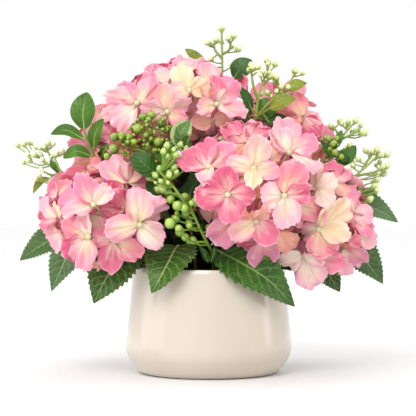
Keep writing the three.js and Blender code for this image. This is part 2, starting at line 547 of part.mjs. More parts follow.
function spraySolid(spray, grow = 0) {
  const parts = [];
  const stems = spray.stems.map((s) => s.map(V));
  stems[0].unshift(new THREE.Vector3(spray.foot[0], spray.foot[1], SOIL_TOP - 1));
  const samples = [];
  stems.forEach((s, i) => {
    if (i) s[0] = samples.reduce((a, q) => (q.distanceTo(s[0]) < a.distanceTo(s[0]) ? q : a)).clone();
    const steps = i ? s.length - 1 : s.length;
    parts.push(tube(s, i ? SPRAY_STEM_R * 0.8 : SPRAY_STEM_R, 4, steps, grow));
    const line = (s.length > 2 ? new THREE.CatmullRomCurve3(s, false, "centripetal") : new THREE.LineCurve3(s[0], s[1])).getSpacedPoints(steps);
    for (let k = i ? 0 : 12; k <= 40; k++) {
      const u = (k / 40) * steps,
        a = Math.min(steps - 1, Math.floor(u));
      samples.push(line[a].clone().lerp(line[a + 1], u - a));
    }
  });
  const roots = [],
    placed = [];
  for (const [x, y, z, r] of spray.berries) {
    const b = new THREE.Vector3(x, y, z);
    if (placed.some((q) => q.distanceTo(b) < BERRY_SPACING)) continue; // a crowded bud counts with its neighbour
    placed.push(b);
    let best = samples[0],
      cost = 1e9;
    for (const s of samples) {
      const d = s.distanceTo(b);
      const crowd = Math.max(0, 3.5 - Math.min(9, ...roots.map((q) => q.distanceTo(s))));
      const k = d + Math.max(0, s.z - z + 0.5 * d) * 0.8 + 1.5 * crowd;
      if (k < cost) (cost = k), (best = s);
    }
    roots.push(best);
    parts.push(berryOnTwig(best, b, r, grow));
  }
  for (const l of spray.leaves) {
    const rib = l.rib.map(V);
    let from = samples[0];
    for (const s of samples) if (s.distanceTo(rib[0]) < from.distanceTo(rib[0])) from = s;
    const away = rib[0].clone().sub(from);
    const lead = away.length() > 2.5 ? [from.clone(), from.clone().addScaledVector(away, 0.5)] : [];
    if (!lead.length) rib[0].copy(from);
    parts.push(
      leaf({ rib, half: l.half, up: new THREE.Vector3(0, -0.9, 0.45), petiole: lead, petioleR: 0.7, thick: SMALL_LEAF_THICK, stations: 4, fine: false, grow }),
    );
  }
  return join(parts);
}
function sprigSolid(grow = 0) {
  const stem = SPRIG.stem.map(V);
  stem.unshift(new THREE.Vector3(SPRIG.foot[0], SPRIG.foot[1], SOIL_TOP - 1));
  const parts = [tube(stem, SPRAY_STEM_R, 5, 8, grow)];
  for (const l of SPRIG.leaves)
    parts.push(leaf({ rib: l.rib.map(V), half: l.half, up: new THREE.Vector3(0, -0.9, 0.4), thick: SMALL_LEAF_THICK, stations: 5, fine: false, grow }));
  return join(parts);
}
function broadLeaf(l, grow = 0) {
  const start = stemCurves[l.stem - 1].getPointAt(l.at),
    base = V(l.rib[0]);
  const rise = l.via ? V(l.via) : start.clone().lerp(base, 0.5).setZ((start.z + base.z) / 2 + 3);
  return leaf({
    rib: l.rib.map(V),
    half: l.half,
    up: V(l.up),
    petiole: [start, rise],
    thick: LEAF_THICK,
    stations: 8,
    teeth: grow ? 0 : 0.07, // the room for a leaf is a plainer shape than the leaf
    grow: grow * 1.6,
  });
}

// ---------------------------------------------------------------- pieces, in the order in which they keep their shape
const GREEN_STEM = 0x5f7d34,
  LEAF_GREEN = 0x3c6b35,
  SPRAY_GREEN = 0x93a85b,
  PINK = [0xf0a3b6, 0xf2b0ba, 0xee94ad, 0xf1a9b8, 0xe993a8, 0xf0a79f, 0xf0a3b4, 0xee9cb0];
const pieces = [];
const add = (name, made, grown, color, roughness) => pieces.push({ name, made, grown, color, roughness });
add("pot", potSolid, null, 0xebe1cf, 0.18);
add("potting_soil", soilSolid, lathe(soilProfile(0.35), POT_SEGMENTS), 0x3a2c20, 0.95);
HEADS.forEach((_, i) => add("hydrangea_stem_" + (i + 1), stemSolid(i), stemSolid(i, GAP), GREEN_STEM, 0.6));
SPRAYS.forEach((s, i) => add("berry_spray_" + (i + 1), spraySolid(s), spraySolid(s, GAP), SPRAY_GREEN, 0.5));
add("leaf_sprig", sprigSolid(), sprigSolid(GAP), LEAF_GREEN, 0.5);
LEAVES.forEach((l, i) => add("hydrangea_leaf_" + (i + 1), broadLeaf(l), broadLeaf(l, GAP), LEAF_GREEN, 0.5));
HEADS.forEach((_, i) => add("flower_head_" + (i + 1), headSolid(i), null, PINK[i], 0.7));

// each piece gives way to the pieces before it, and keeps a gap to them
pieces.forEach((piece, i) => {
  for (let j = 1; j < i; j++) {
    const other = pieces[j];
    if (other.grown && near(piece.made, other.grown)) piece.made = piece.made.subtract(other.grown);
  }
  if (i > 1) piece.made = largest(piece.made);
});

const plant = new THREE.Group();
for (const { name, made, color, roughness } of pieces) {
  const mesh = new THREE.Mesh(
    geometryOf(made),
    new THREE.MeshStandardMaterial({ color, roughness, metalness: 0, flatShading: name !== "pot" }),
  );
  mesh.name = name;
  plant.add(mesh);
}
export default plant;
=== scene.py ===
"""Looks of a potted hydrangea: fabric-like pink florets, toothed leaves, berry sprays, a leaf sprig, and a glazed pot."""
import bpy
import math
import numpy as np
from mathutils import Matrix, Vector


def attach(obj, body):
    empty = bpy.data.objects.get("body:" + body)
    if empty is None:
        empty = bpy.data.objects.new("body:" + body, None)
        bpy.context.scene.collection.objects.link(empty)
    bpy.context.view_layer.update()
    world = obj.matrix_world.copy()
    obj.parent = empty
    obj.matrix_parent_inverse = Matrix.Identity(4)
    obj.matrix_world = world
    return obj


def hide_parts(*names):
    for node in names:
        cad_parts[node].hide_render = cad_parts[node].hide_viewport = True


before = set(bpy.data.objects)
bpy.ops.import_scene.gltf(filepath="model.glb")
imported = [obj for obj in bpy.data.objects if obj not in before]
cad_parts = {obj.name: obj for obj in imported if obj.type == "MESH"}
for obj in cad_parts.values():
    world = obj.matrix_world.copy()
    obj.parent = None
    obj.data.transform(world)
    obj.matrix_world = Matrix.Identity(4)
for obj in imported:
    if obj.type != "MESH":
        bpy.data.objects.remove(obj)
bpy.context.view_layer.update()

MM = 0.001
RNG = np.random.default_rng(20)

# ------------------------------------------------------------------ the view, and points given by it
VIEW_SCALE = 0.8454  # mm for one step of the 416-step frame at y = 0
VIEW_DIST = 1250.0  # mm from the camera to y = 0
VIEW_X, VIEW_Z = -0.68, 138.8


def at(px, py, y):
    """The point in mm that lies at frame position px, py and depth y."""
    s = VIEW_SCALE * (VIEW_DIST + y) / VIEW_DIST
    return np.array([VIEW_X + (px - 208) * s, y, VIEW_Z + (208 - py) * s])


# ------------------------------------------------------------------ small maths
def unit(v):
    v = np.asarray(v, float)
    return v / max(np.linalg.norm(v), 1e-9)


def srgb(r, g, b):
    c = np.array([r, g, b], float) / 255.0
    return np.where(c <= 0.04045, c / 12.92, ((c + 0.055) / 1.055) ** 2.4)


def smooth(a, b, x):
    t = np.clip((np.asarray(x, float) - a) / (b - a), 0, 1)
    return t * t * (3 - 2 * t)


def curve(points, n):
    """n evenly spaced points of the centripetal curve through the given points, and its unit tangents."""
    p = np.asarray(points, float)
    if len(p) == 2:
        line = p[0] + (p[1] - p[0]) * np.linspace(0, 1, n)[:, None]
    else:
        a = np.vstack([2 * p[0] - p[1], p, 2 * p[-1] - p[-2]])
        u = np.linspace(0, 1, 24, endpoint=False)[:, None]
        parts = []
        for i in range(1, len(a) - 2):
            p0, p1, p2, p3 = a[i - 1 : i + 3]
            d0, d1, d2 = [max(np.linalg.norm(q - r) ** 0.5, 1e-4) for q, r in ((p1, p0), (p2, p1), (p3, p2))]
            t1 = ((p1 - p0) / d0 - (p2 - p0) / (d0 + d1) + (p2 - p1) / d1) * d1
            t2 = ((p2 - p1) / d1 - (p3 - p1) / (d1 + d2) + (p3 - p2) / d2) * d1
            parts.append(p1 + t1 * u + (-3 * p1 + 3 * p2 - 2 * t1 - t2) * u**2 + (2 * p1 - 2 * p2 + t1 + t2) * u**3)
        fine = np.vstack(parts + [p[-1:]])
        s = np.r_[0, np.cumsum(np.linalg.norm(np.diff(fine, axis=0), axis=1))]
        w = np.linspace(0, s[-1], n)
        line = np.stack([np.interp(w, s, fine[:, k]) for k in range(3)], axis=1)
    t = np.gradient(line, axis=0)
    t /= np.maximum(np.linalg.norm(t, axis=1, keepdims=True), 1e-9)
    return line, t


# ------------------------------------------------------------------ mesh building
ATTRS = {"along": 1, "across": 1, "seed": 1, "fade": 1, "tint_in": 3, "tint_out": 3}


class Build:
    """Closed bits of surface in mm, with values at their points, that become one object."""

    def __init__(self, extra=()):
        self.v, self.quads, self.tris, self.qm, self.tm, self.n = [], [], [], [], [], 0
        self.names = {**ATTRS, **{k: 1 for k in extra}}
        self.a = {k: [] for k in self.names}

    def add(self, v, quads=(), tris=(), slot=0, **values):
        v = np.asarray(v, float).reshape(-1, 3)
        m = len(v)
        if len(quads):
            self.quads.append(np.asarray(quads, int) + self.n)
            self.qm.append(np.full(len(quads), slot))
        if len(tris):
            self.tris.append(np.asarray(tris, int) + self.n)
            self.tm.append(np.full(len(tris), slot))
        for k, size in self.names.items():
            val = values.get(k, 0.0 if size == 1 else (0.8, 0.8, 0.8))
            val = np.asarray(val, float)
            if size == 1:
                self.a[k].append(np.broadcast_to(val.ravel() if val.ndim else val, (m,)))
            else:
                self.a[k].append(np.broadcast_to(val, (m, 3)))
        self.v.append(v)
        self.n += m

    def make(self, name, materials, node, record_slot, angle=50):
        v = np.vstack(self.v) * MM
        quads = np.vstack(self.quads) if self.quads else np.zeros((0, 4), int)
        tris = np.vstack(self.tris) if self.tris else np.zeros((0, 3), int)
        me = bpy.data.meshes.new(name)
        me.vertices.add(len(v))
        me.vertices.foreach_set("co", v.astype(np.float32).ravel())
        loops = np.r_[quads.ravel(), tris.ravel()].astype(np.int32)
        me.loops.add(len(loops))
        me.loops.foreach_set("vertex_index", loops)
        me.polygons.add(len(quads) + len(tris))
        start = np.r_[np.arange(len(quads)) * 4, len(quads) * 4 + np.arange(len(tris)) * 3].astype(np.int32)
        me.polygons.foreach_set("loop_start", start)
        me.polygons.foreach_set("use_smooth", np.ones(len(start), bool))
        slots = np.r_[np.concatenate(self.qm) if self.qm else [], np.concatenate(self.tm) if self.tm else []].astype(np.int32)
        me.polygons.foreach_set("material_index", slots)
        me.update(calc_edges=True)
        for k, size in self.names.items():
            if size == 1:
                attr = me.attributes.new(k, "FLOAT", "POINT")
                attr.data.foreach_set("value", np.concatenate(self.a[k]).astype(np.float32))
            else:
                attr = me.attributes.new(k, "FLOAT_VECTOR", "POINT")
                attr.data.foreach_set("vector", np.vstack(self.a[k]).astype(np.float32).ravel())
        if angle:
            me.set_sharp_from_angle(angle=math.radians(angle))
        for m in materials:
            me.materials.append(m)
        ob = bpy.data.objects.new(name, me)
        bpy.context.scene.collection.objects.link(ob)
        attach(ob, "root")
        if node:
            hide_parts(node)
        return ob


_grids = {}


def sheet_faces(nr, nt):
    """Faces of a thin closed sheet: nr x nt points above, the same below, and a rim."""
    if (nr, nt) in _grids:
        return _grids[nr, nt]
    i, j = np.meshgrid(np.arange(nr - 1), np.arange(nt - 1), indexing="ij")
    a = (i * nt + j).ravel()
    top = np.stack([a, a + nt, a + nt + 1, a + 1], axis=1)
    off = nr * nt
    under = top[:, ::-1] + off
    ring = np.r_[np.arange(nt - 1), np.arange(nr - 1) * nt + nt - 1, nr * nt - 1 - np.arange(nt - 1), (nr - 1 - np.arange(nr - 1)) * nt]
    nxt = np.roll(ring, -1)
    rim = np.stack([ring, nxt, nxt + off, ring + off], axis=1)
    faces = np.vstack([top, under, rim])
    _grids[nr, nt] = faces
    return faces


def tube(b, points, r0, r1=None, sides=8, n=None, slot=0, **values):
    """A round tapered tube with closed, slightly domed ends."""
    n = n or max(4, 3 * len(points))
    c, t = curve(points, n)
    r1 = r0 if r1 is None else r1
    radii = r0 + (r1 - r0) * np.linspace(0, 1, n)
    side = unit(np.cross(t[0], [0.3, -0.8, 0.52]))
    rings, ang = [], np.arange(sides) * 2 * math.pi / sides
    for k in range(n):
        side = unit(side - t[k] * (side @ t[k]))
        up = np.cross(t[k], side)
        rings.append(c[k] + radii[k] * (np.cos(ang)[:, None] * side + np.sin(ang)[:, None] * up))
    v = np.vstack(rings + [c[:1] - t[:1] * r0 * 0.4, c[-1:] + t[-1:] * r1 * 0.4])
    quads, tris = [], []
    for k in range(n - 1):
        for s in range(sides):
            s2 = (s + 1) % sides
            quads.append([k * sides + s, k * sides + s2, (k + 1) * sides + s2, (k + 1) * sides + s])
    for s in range(sides):
        s2 = (s + 1) % sides
        tris.append([n * sides, s2, s])
        tris.append([n * sides + 1, (n - 1) * sides + s, (n - 1) * sides + s2])
    along = np.r_[np.repeat(np.linspace(0, 1, n), sides), 0, 1]
    values.setdefault("along", along)
    b.add(v, quads, tris, slot=slot, **values)
    return c, t


def bead(b, centre, axis, r, stretch=1.0, segs=12, rows=8, nub=0.0, ribs=0.0, nrib=5, slot=0, base_pull=0.0, **values):
    """A round bud or berry: rows from its base (where it is carried) to its tip along axis."""
    axis = unit(axis)
    side = unit(np.cross(axis, [0.31, -0.9, 0.3]))
    up = np.cross(axis, side)
    phi = np.linspace(0, math.pi, rows + 1)[1:-1]
    ang = np.arange(segs) * 2 * math.pi / segs
    v = []
    for f in phi:
        w = math.sin(f) * r
        a = -math.cos(f) * r * stretch
        if f < 1.2:
            w *= 1 - base_pull * (1.2 - f) / 1.2
        w = w * (1 + ribs * np.cos(nrib * ang) * math.sin(f))
        v.append(centre + axis * a + (w * np.cos(ang))[:, None] * side + (w * np.sin(ang))[:, None] * up)
    v.append([centre - axis * r * stretch])
    v.append([centre + axis * r * (stretch + nub)])
    v = np.vstack(v)
    m = len(phi)
    quads, tris = [], []
    for k in range(m - 1):
        for s in range(segs):
            s2 = (s + 1) % segs
            quads.append([k * segs + s, k * segs + s2, (k + 1) * segs + s2, (k + 1) * segs + s])
    for s in range(segs):
        s2 = (s + 1) % segs
        tris.append([m * segs, s2, s])
        tris.append([m * segs + 1, (m - 1) * segs + s, (m - 1) * segs + s2])
    along = np.r_[np.repeat((1 - np.cos(phi)) / 2, segs), 0, 1]
    b.add(v, quads, tris, slot=slot, along=along, **values)


# ------------------------------------------------------------------ petals
PETAL_SPREAD = math.radians(76)


def petal(b, base, d, side, length, width, rng, grid=(14, 13), curl=-0.10, bow=0.10, fold=0.0, pleat=0.05, ruffle=0.022,
          notch=None, thick=0.32, tint="pink", slot=0, dim=1.0):
    """One broad petal from base along d; side is its cross direction. The outline is a rounded fan on a narrow claw."""
    nr, nt = grid
    d = unit(d)
    side = unit(side - d * (side @ d))
    nrm = np.cross(d, side)
    th = np.linspace(-1, 1, nt)
    a = th * PETAL_SPREAD
    lean = rng.uniform(-0.12, 0.12)
    out = 0.10 + 0.90 * (1 - np.abs(th) ** rng.uniform(2.8, 3.4)) ** 0.56
    ph = rng.uniform(0, 2 * math.pi, 9)
    out = out * (1 + 0.8 * ruffle * np.sin(3.3 * a + ph[0]) + 0.7 * ruffle * np.sin(6.1 * a + ph[1]) + lean * np.sin(a))
    lobes = np.abs(np.sin((rng.uniform(12.5, 15) if nt > 40 else rng.uniform(8.5, 10.5)) * a + ph[2] + 0.7 * np.sin(2.3 * a + ph[8]))) ** 0.7  # small rounded lobes with notches between
    out = out * (1 - 2.0 * ruffle * (1 - lobes))
    if notch is None:
        notch = rng.uniform(0.0, 0.05)
    out = out * (1 - notch * np.exp(-(((a - rng.uniform(-0.15, 0.15)) / 0.12) ** 2)))
    rho = 0.05 + 0.95 * np.linspace(0, 1, nr) ** 0.9
    x = rho[:, None] * (out * np.cos(a))[None, :]
    y = rho[:, None] * (out * np.sin(a))[None, :]
    x = x / np.max(x)
    y = y / np.max(np.abs(y))
    z = curl * x**2 + bow * (y**2) * (0.3 + 0.7 * x) + fold * (np.sqrt(y**2 + 0.015) - 0.12) * (0.4 + 0.6 * x)
    aa = a[None, :]
    rr = rho[:, None]
    waves = 0.55 * np.sin(4.2 * aa + ph[3]) + 0.45 * np.sin(6.9 * aa + ph[4]) + 0.25 * np.sin(11 * aa + ph[5] + 2 * rr)
    z = z + pleat * waves * rr**1.5 + 0.55 * pleat * np.sin(13 * aa + ph[6]) * rr**4 + 0.5 * pleat * np.sin(4.5 * aa * rr + 5 * rr + ph[8])
    z = z - 0.045 * np.exp(-((aa / 0.10) ** 2)) * np.sin(math.pi * np.clip(rr, 0, 1)) ** 0.7
    z = z + 0.03 * np.sin(5 * x + ph[7])
    v = base + d * (x * length)[..., None] + side * (y * width / 2)[..., None] + nrm * (z * length)[..., None]
    v = v.reshape(-1, 3)
    t = (thick * (1 - 0.45 * rho))[:, None] * np.ones((1, nt))
    low = v - nrm * t.reshape(-1, 1)
    tin, tout, fade = TINTS[tint]
    along = np.repeat(rho, nt)
    across = np.tile(th, nr)
    tone = dim * np.array([1, 1, 1.0])
    b.add(np.vstack([v, low]), sheet_faces(nr, nt)[:, ::-1], slot=slot, along=np.r_[along, along], across=np.r_[across, across],
          seed=rng.uniform(0, 1), fade=fade + rng.uniform(-0.06, 0.06), tint_in=np.clip(srgb(*tin) * tone, 0, 1), tint_out=np.clip(srgb(*tout) * tone, 0, 1))


TINTS = {  # colour at the throat, colour at the edge, how far out the change lies
    "pink": ((255, 236, 218), (252, 160, 190), 0.46),
    "pink_cream": ((255, 240, 212), (253, 182, 202), 0.58),
    "cream_pink": ((255, 240, 210), (254, 190, 204), 0.62),
    "pale": ((255, 240, 220), (254, 198, 212), 0.48),
    "white": ((255, 245, 226), (255, 236, 228), 0.50),
    "white_pink": ((255, 244, 226), (254, 196, 214), 0.66),
    "cream": ((253, 236, 198), (252, 232, 206), 0.62),
    "peach": ((255, 230, 198), (253, 196, 190), 0.52),
    "peach_pink": ((255, 228, 198), (251, 162, 182), 0.52),
    "hot": ((250, 202, 198), (232, 112, 148), 0.42),
    "hot_pink": ((252, 216, 208), (240, 136, 166), 0.44),
    # deep, dusky, dusky_pink, dusky_peach and mauve: darker, duller pinks for florets that lie in shade behind or
    # between the front ones; partly the petals' own colour, partly painted shade.
    "deep": ((242, 140, 158), (228, 80, 122), 0.30),
    "dusky": ((252, 206, 174), (246, 176, 166), 0.50),
    "dusky_pink": ((252, 186, 174), (246, 150, 164), 0.48),
    "dusky_peach": ((254, 210, 178), (250, 176, 162), 0.50),
    "mauve": ((244, 190, 188), (230, 150, 178), 0.48),
}

SPRAYS = [
    dict(foot=(-23, 4),
         stems=[[[-75.4,6.0,132.9],[-102.5,4.0,145.6],[-117.3,4.0,156.3],[-127.9,4.0,168.5],[-133.8,3.0,174.1],[-142.9,2.0,181.1]],[[-127.9,4.0,168.5],[-133.2,6.0,179.6],[-137.1,6.0,188.1]],[[-117.3,4.0,156.3],[-125.8,0.0,170.9],[-130.5,0.0,181.1]]],
         berries=[[-157.0,3.1,193.0,2.3],[-153.2,5.4,194.4,1.7],[-146.0,5.5,190.9,2.3],[-147.5,-2.1,184.4,2.4],[-142.9,5.1,183.1,2.3],[-152.7,5.5,179.6,2.4],[-140.0,10.5,189.3,2.2],[-136.7,2.5,193.9,2.5],[-133.0,6.7,193.3,1.6],[-131.1,5.0,184.0,1.6],[-124.8,1.4,185.9,2.4],[-143.7,-2.1,165.1,2.7],[-141.2,0.1,171.1,1.7],[-132.1,3.4,154.3,3.0],[-127.1,-0.8,159.3,2.2],[-115.3,-1.3,164.3,3.0]],
         leaves=[[[-134.6,3.0,163.7],[-142.2,3.0,161.7],[-148.6,0.0,151.5],3.2]]),
    dict(foot=(4, 9),
         stems=[[[6.2,20.0,188.6],[9.7,28.0,223.5],[11.7,32.0,259.3],[11.5,32.0,275.8],[11.1,32.0,290.5]],[[11.5,32.0,270.6],[17.5,30.0,275.6],[19.2,29.0,282.4]],[[11.5,32.0,267.1],[5.4,34.0,276.0],[4.5,34.0,281.2]]],
         berries=[[11.1,32.5,294.6,2.7],[21.7,29.4,287.8,2.6],[16.7,23.2,285.0,2.3],[-0.8,28.5,281.9,2.6],[6.5,35.8,284.5,2.5],[11.4,38.0,283.0,2.0],[20.3,35.0,279.0,1.8],[25.7,30.7,276.7,2.7],[1.9,34.7,268.0,2.2],[20.8,27.9,262.5,2.6]],
         leaves=[[[-2.9,34.0,263.0],[-10.2,36.0,269.3],[-20.5,38.0,277.3],4.6],[[21.7,24.0,250.8],[27.7,22.0,259.2],[37.2,22.0,266.1],9.0]]),
    dict(foot=(16, -14),
         stems=[[[16.2,-2.0,170.9],[31.1,-14.0,199.8],[38.4,-22.0,213.5],[40.8,-23.0,228.4],[44.2,-21.0,241.9],[49.3,-18.0,252.1]],[[38.4,-22.0,213.5],[47.4,-24.0,223.4],[55.8,-22.0,231.8],[60.3,-19.0,239.8]],[[40.8,-23.0,228.4],[36.7,-22.0,241.8],[35.1,-20.0,255.3]],[[40.8,-22.0,215.2],[55.0,-22.0,225.2],[67.0,-14.0,242.5],[72.3,-8.0,252.2]]],
         berries=[[35.0,-21.9,257.1,2.6],[41.3,-17.9,256.3,2.4],[48.5,-12.3,262.1,2.6],[55.6,-12.6,259.1,2.7],[45.0,-22.9,251.7,2.2],[54.6,-15.1,248.4,2.9],[50.4,-17.1,247.6,2.2],[55.2,-14.4,244.3,2.2],[60.0,-24.5,239.3,2.7],[59.3,-18.5,234.9,2.4],[49.2,-18.5,234.6,2.6],[72.5,-5.1,254.0,3.0]],
         leaves=[[[63.6,-16.0,237.3],[72.8,-16.0,241.5],[82.0,-15.0,243.2],5.0],[[51.6,-23.0,221.0],[60.5,-27.0,227.3],[72.0,-28.0,228.9],7.0],[[35.8,-24.0,220.1],[30.8,-27.0,230.6],[25.0,-27.0,239.7],4.2]]),
    dict(foot=(22, 4),
         stems=[[[60.7,10.0,145.6],[93.1,10.0,172.9],[103.1,8.0,186.4],[109.7,6.0,194.9],[116.5,6.0,203.4],[121.6,6.0,209.3]],[[109.7,6.0,194.9],[109.1,8.0,203.5],[105.2,8.0,207.7]],[[109.7,6.0,194.9],[119.7,3.0,200.7],[126.3,2.0,204.0]]],
         berries=[[104.6,11.0,208.1,2.6],[111.8,11.6,213.1,2.5],[118.8,9.8,211.8,2.5],[124.5,4.4,212.7,2.7],[125.0,5.9,204.5,2.2],[129.8,4.0,202.8,2.9],[119.3,2.8,191.8,2.4],[107.6,11.9,185.6,2.8],[113.3,9.0,182.5,2.1],[99.2,4.1,197.8,2.2],[103.6,6.4,196.8,2.3],[106.8,2.2,194.7,2.2]],
         leaves=[[[106.4,6.0,177.0],[115.3,2.0,181.1],[124.4,0.0,191.6],7.0]]),
    dict(foot=(21, -9),
         stems=[[[68.8,2.0,132.9],[106.7,0.0,154.0],[119.4,-3.0,162.6],[129.1,-4.0,170.8],[135.8,-4.0,176.7],[141.7,-4.0,182.6]],[[129.1,-4.0,170.8],[134.6,0.0,179.4],[138.0,0.0,183.6]],[[124.0,-4.0,165.8],[135.4,-8.0,168.2],[145.5,-8.0,170.7]]],
         berries=[[132.9,0.2,187.2,2.6],[138.1,2.3,185.2,2.2],[141.6,-7.8,187.9,2.6],[150.1,-5.5,183.7,2.7],[126.4,-1.1,179.8,2.4],[121.6,-4.3,174.4,2.3],[144.7,1.0,177.5,2.2],[149.4,-12.0,174.1,2.8],[144.0,-9.8,171.8,2.2],[147.4,-4.2,167.9,2.8],[141.6,-7.9,162.7,2.6]],
         leaves=[]),
    dict(foot=(24, -3),
         stems=[[[51.5,-6.0,103.5],[101.6,-10.0,132.9],[118.0,-14.0,145.5],[127.1,-14.0,151.8],[133.9,-14.0,154.7]]],
         berries=[[126.2,-11.5,157.1,2.9],[138.9,-8.5,156.6,3.0],[134.3,-12.6,145.9,2.9]],
         leaves=[]),
    dict(foot=(2, -24),
         stems=[[[4.2,-36.0,94.5],[2.4,-48.0,103.0],[-4.7,-66.0,117.2],[-11.0,-76.0,131.3],[-14.9,-78.0,140.4]],[[-11.0,-76.0,131.7],[-18.1,-80.0,141.2],[-24.9,-80.0,151.5],[-32.4,-78.0,160.2],[-38.9,-74.0,167.4]],[[-2.3,-60.0,112.2],[-10.3,-66.0,111.6]]],
         berries=[[-39.1,-70.9,169.1,3.0],[-42.4,-71.8,164.3,2.9],[-37.6,-83.0,159.6,2.0],[-36.3,-78.5,153.6,3.4],[-31.2,-83.9,164.6,2.4],[-27.6,-74.5,170.1,2.8],[-30.0,-79.6,145.3,2.4],[-26.4,-77.5,180.4,2.6],[-19.2,-75.9,147.0,2.8],[-24.6,-84.2,140.4,3.0],[-18.2,-74.2,143.3,2.6],[-10.5,-79.9,143.5,2.8],[-18.3,-75.1,134.7,2.5],[-26.1,-76.7,130.2,2.5],[-30.4,-84.5,126.7,3.2],[-22.9,-68.8,119.6,3.0],[-15.6,-72.5,126.1,2.4],[0.1,-69.2,122.7,2.4],[-12.9,-65.4,113.0,2.4],[-33.4,-76.3,187.6,2.8],[-36.1,-77.7,183.0,2.5],[-23.1,-68.3,188.8,2.6]],
         leaves=[[[-0.7,-50.0,95.0],[-3.9,-58.0,102.5],[-7.9,-62.0,108.3],4.6],[[1.8,-50.0,95.0],[3.8,-56.0,101.7],[4.6,-60.0,108.2],3.6]]),
    dict(foot=(-9, -19),
         stems=[[[-15.7,-20.0,124.7],[-26.9,-40.0,153.5],[-37.1,-52.0,171.2],[-41.1,-54.0,184.1],[-44.4,-54.0,193.8],[-46.8,-54.0,203.5]],[[-37.1,-52.0,171.2],[-51.5,-58.0,183.9],[-65.2,-58.0,187.2],[-71.6,-58.0,192.0]],[[-41.1,-54.0,184.1],[-35.5,-52.0,193.9],[-33.1,-52.0,201.2]],[[-44.4,-54.0,193.8],[-53.1,-58.0,200.1],[-55.5,-58.0,206.5]]],
         berries=[[-53.5,-54.8,212.0,3.2],[-46.6,-55.4,213.6,3.3],[-38.8,-47.2,207.6,3.9],[-32.8,-47.8,202.8,3.4],[-57.0,-60.7,202.6,3.8],[-40.6,-58.0,192.0,3.7],[-76.1,-52.9,196.0,3.5],[-70.1,-59.7,197.3,3.0],[-64.6,-57.8,195.6,3.0],[-76.4,-59.2,186.2,3.8],[-49.8,-54.1,186.4,3.3],[-58.1,-54.3,186.9,2.8],[-50.7,-57.6,197.7,2.6],[-60.1,-61.8,191.8,2.4]],
         leaves=[[[-41.5,-66.0,166.8],[-50.1,-72.0,172.3],[-60.5,-70.0,182.7],9.8],[[-20.5,-61.0,187.9],[-22.3,-67.0,198.0],[-15.1,-64.0,209.0],8.2],[[-31.2,-62.0,146.8],[-40.7,-66.0,151.6],[-50.4,-64.0,159.7],7.0]]),
    dict(foot=(0, 25),
         stems=[[[-15.3,57.0,131.6],[-19.3,89.2,158.9],[-18.5,99.4,172.4],[-17.3,106.2,180.9],[-18.2,112.9,189.4],[-18.8,118.0,195.3]],[[-17.3,106.2,180.9],[-19.2,105.3,189.5],[-18.8,101.4,193.7]],[[-17.3,106.2,180.9],[-15.6,116.4,186.7],[-15.4,123.1,190.0]]],
         berries=[[-21.7,100.5,194.1,2.6],[-23.1,107.6,199.1,2.5],[-22.2,114.7,197.8,2.5],[-17.5,121.0,198.7,2.7],[-19.1,121.3,190.5,2.2],[-17.8,126.3,188.8,2.9],[-15.3,116.1,177.8,2.4],[-22.9,103.3,171.6,2.8],[-20.7,109.4,168.5,2.1],[-14.2,96.0,183.8,2.2],[-17.0,100.0,182.8,2.3],[-13.2,103.7,180.7,2.2]],
         leaves=[[[-16.9,102.9,163.0],[-14.0,112.2,167.1],[-13.2,121.5,177.6],7.0]]),
    dict(foot=(-4, 17),
         stems=[[[-13.0,23.8,164.9],[-19.9,41.7,193.8],[-22.3,52.3,207.5],[-23.8,54.3,222.4],[-27.8,54.3,235.9],[-33.7,54.2,246.1]],[[-22.3,52.3,207.5],[-29.0,58.5,217.4],[-37.3,61.0,225.8],[-42.7,60.6,233.8]],[[-23.8,54.3,222.4],[-20.8,51.4,235.8],[-20.4,48.9,249.3]],[[-24.3,53.5,209.2],[-36.6,60.6,219.2],[-51.0,59.6,236.5],[-58.6,57.1,246.2]]],
         berries=[[-19.4,50.5,251.1,2.6],[-26.8,50.2,250.3,2.4],[-35.9,48.9,256.1,2.6],[-41.9,52.7,253.1,2.7],[-27.5,56.3,245.7,2.2],[-39.7,54.4,242.4,2.9],[-35.1,54.0,241.6,2.2],[-40.6,54.1,238.3,2.2],[-39.7,65.2,233.3,2.7],[-42.1,59.7,228.9,2.4],[-33.4,54.6,228.6,2.6],[-60.2,54.7,248.0,3.0]],
         leaves=[[[-47.1,59.7,231.3],[-55.0,64.3,235.5],[-63.5,68.0,237.2],5.0],[[-33.2,59.7,215.0],[-38.9,67.6,221.3],[-48.4,74.2,222.9],7.0],[[-19.0,52.7,214.1],[-13.2,52.8,224.6],[-8.2,49.9,233.7],4.2]]),
]
SPRIG = dict(foot=(-20,12), stem=[[-66.8,4.0,132.9],[-85.2,0.0,157.4],[-93.0,-9.0,174.9],[-98.5,-14.0,189.0],[-104.2,-16.0,203.1]], leaves=[[[-103.9,-16.0,203.1],[-104.9,-17.0,218.9],[-101.7,-14.0,235.6],10.2],[[-100.9,-15.0,194.8],[-119.1,-17.0,203.8],[-133.8,-14.0,200.2],6.0],[[-96.1,-13.0,185.7],[-94.8,-19.0,200.4],[-86.8,-22.0,214.4],6.6],[[-95.3,-12.0,181.5],[-110.7,-18.0,186.3],[-122.8,-16.0,179.7],6.2],[[-93.0,-9.0,174.9],[-88.5,-14.0,184.8],[-83.2,-18.0,193.8],4.4]])

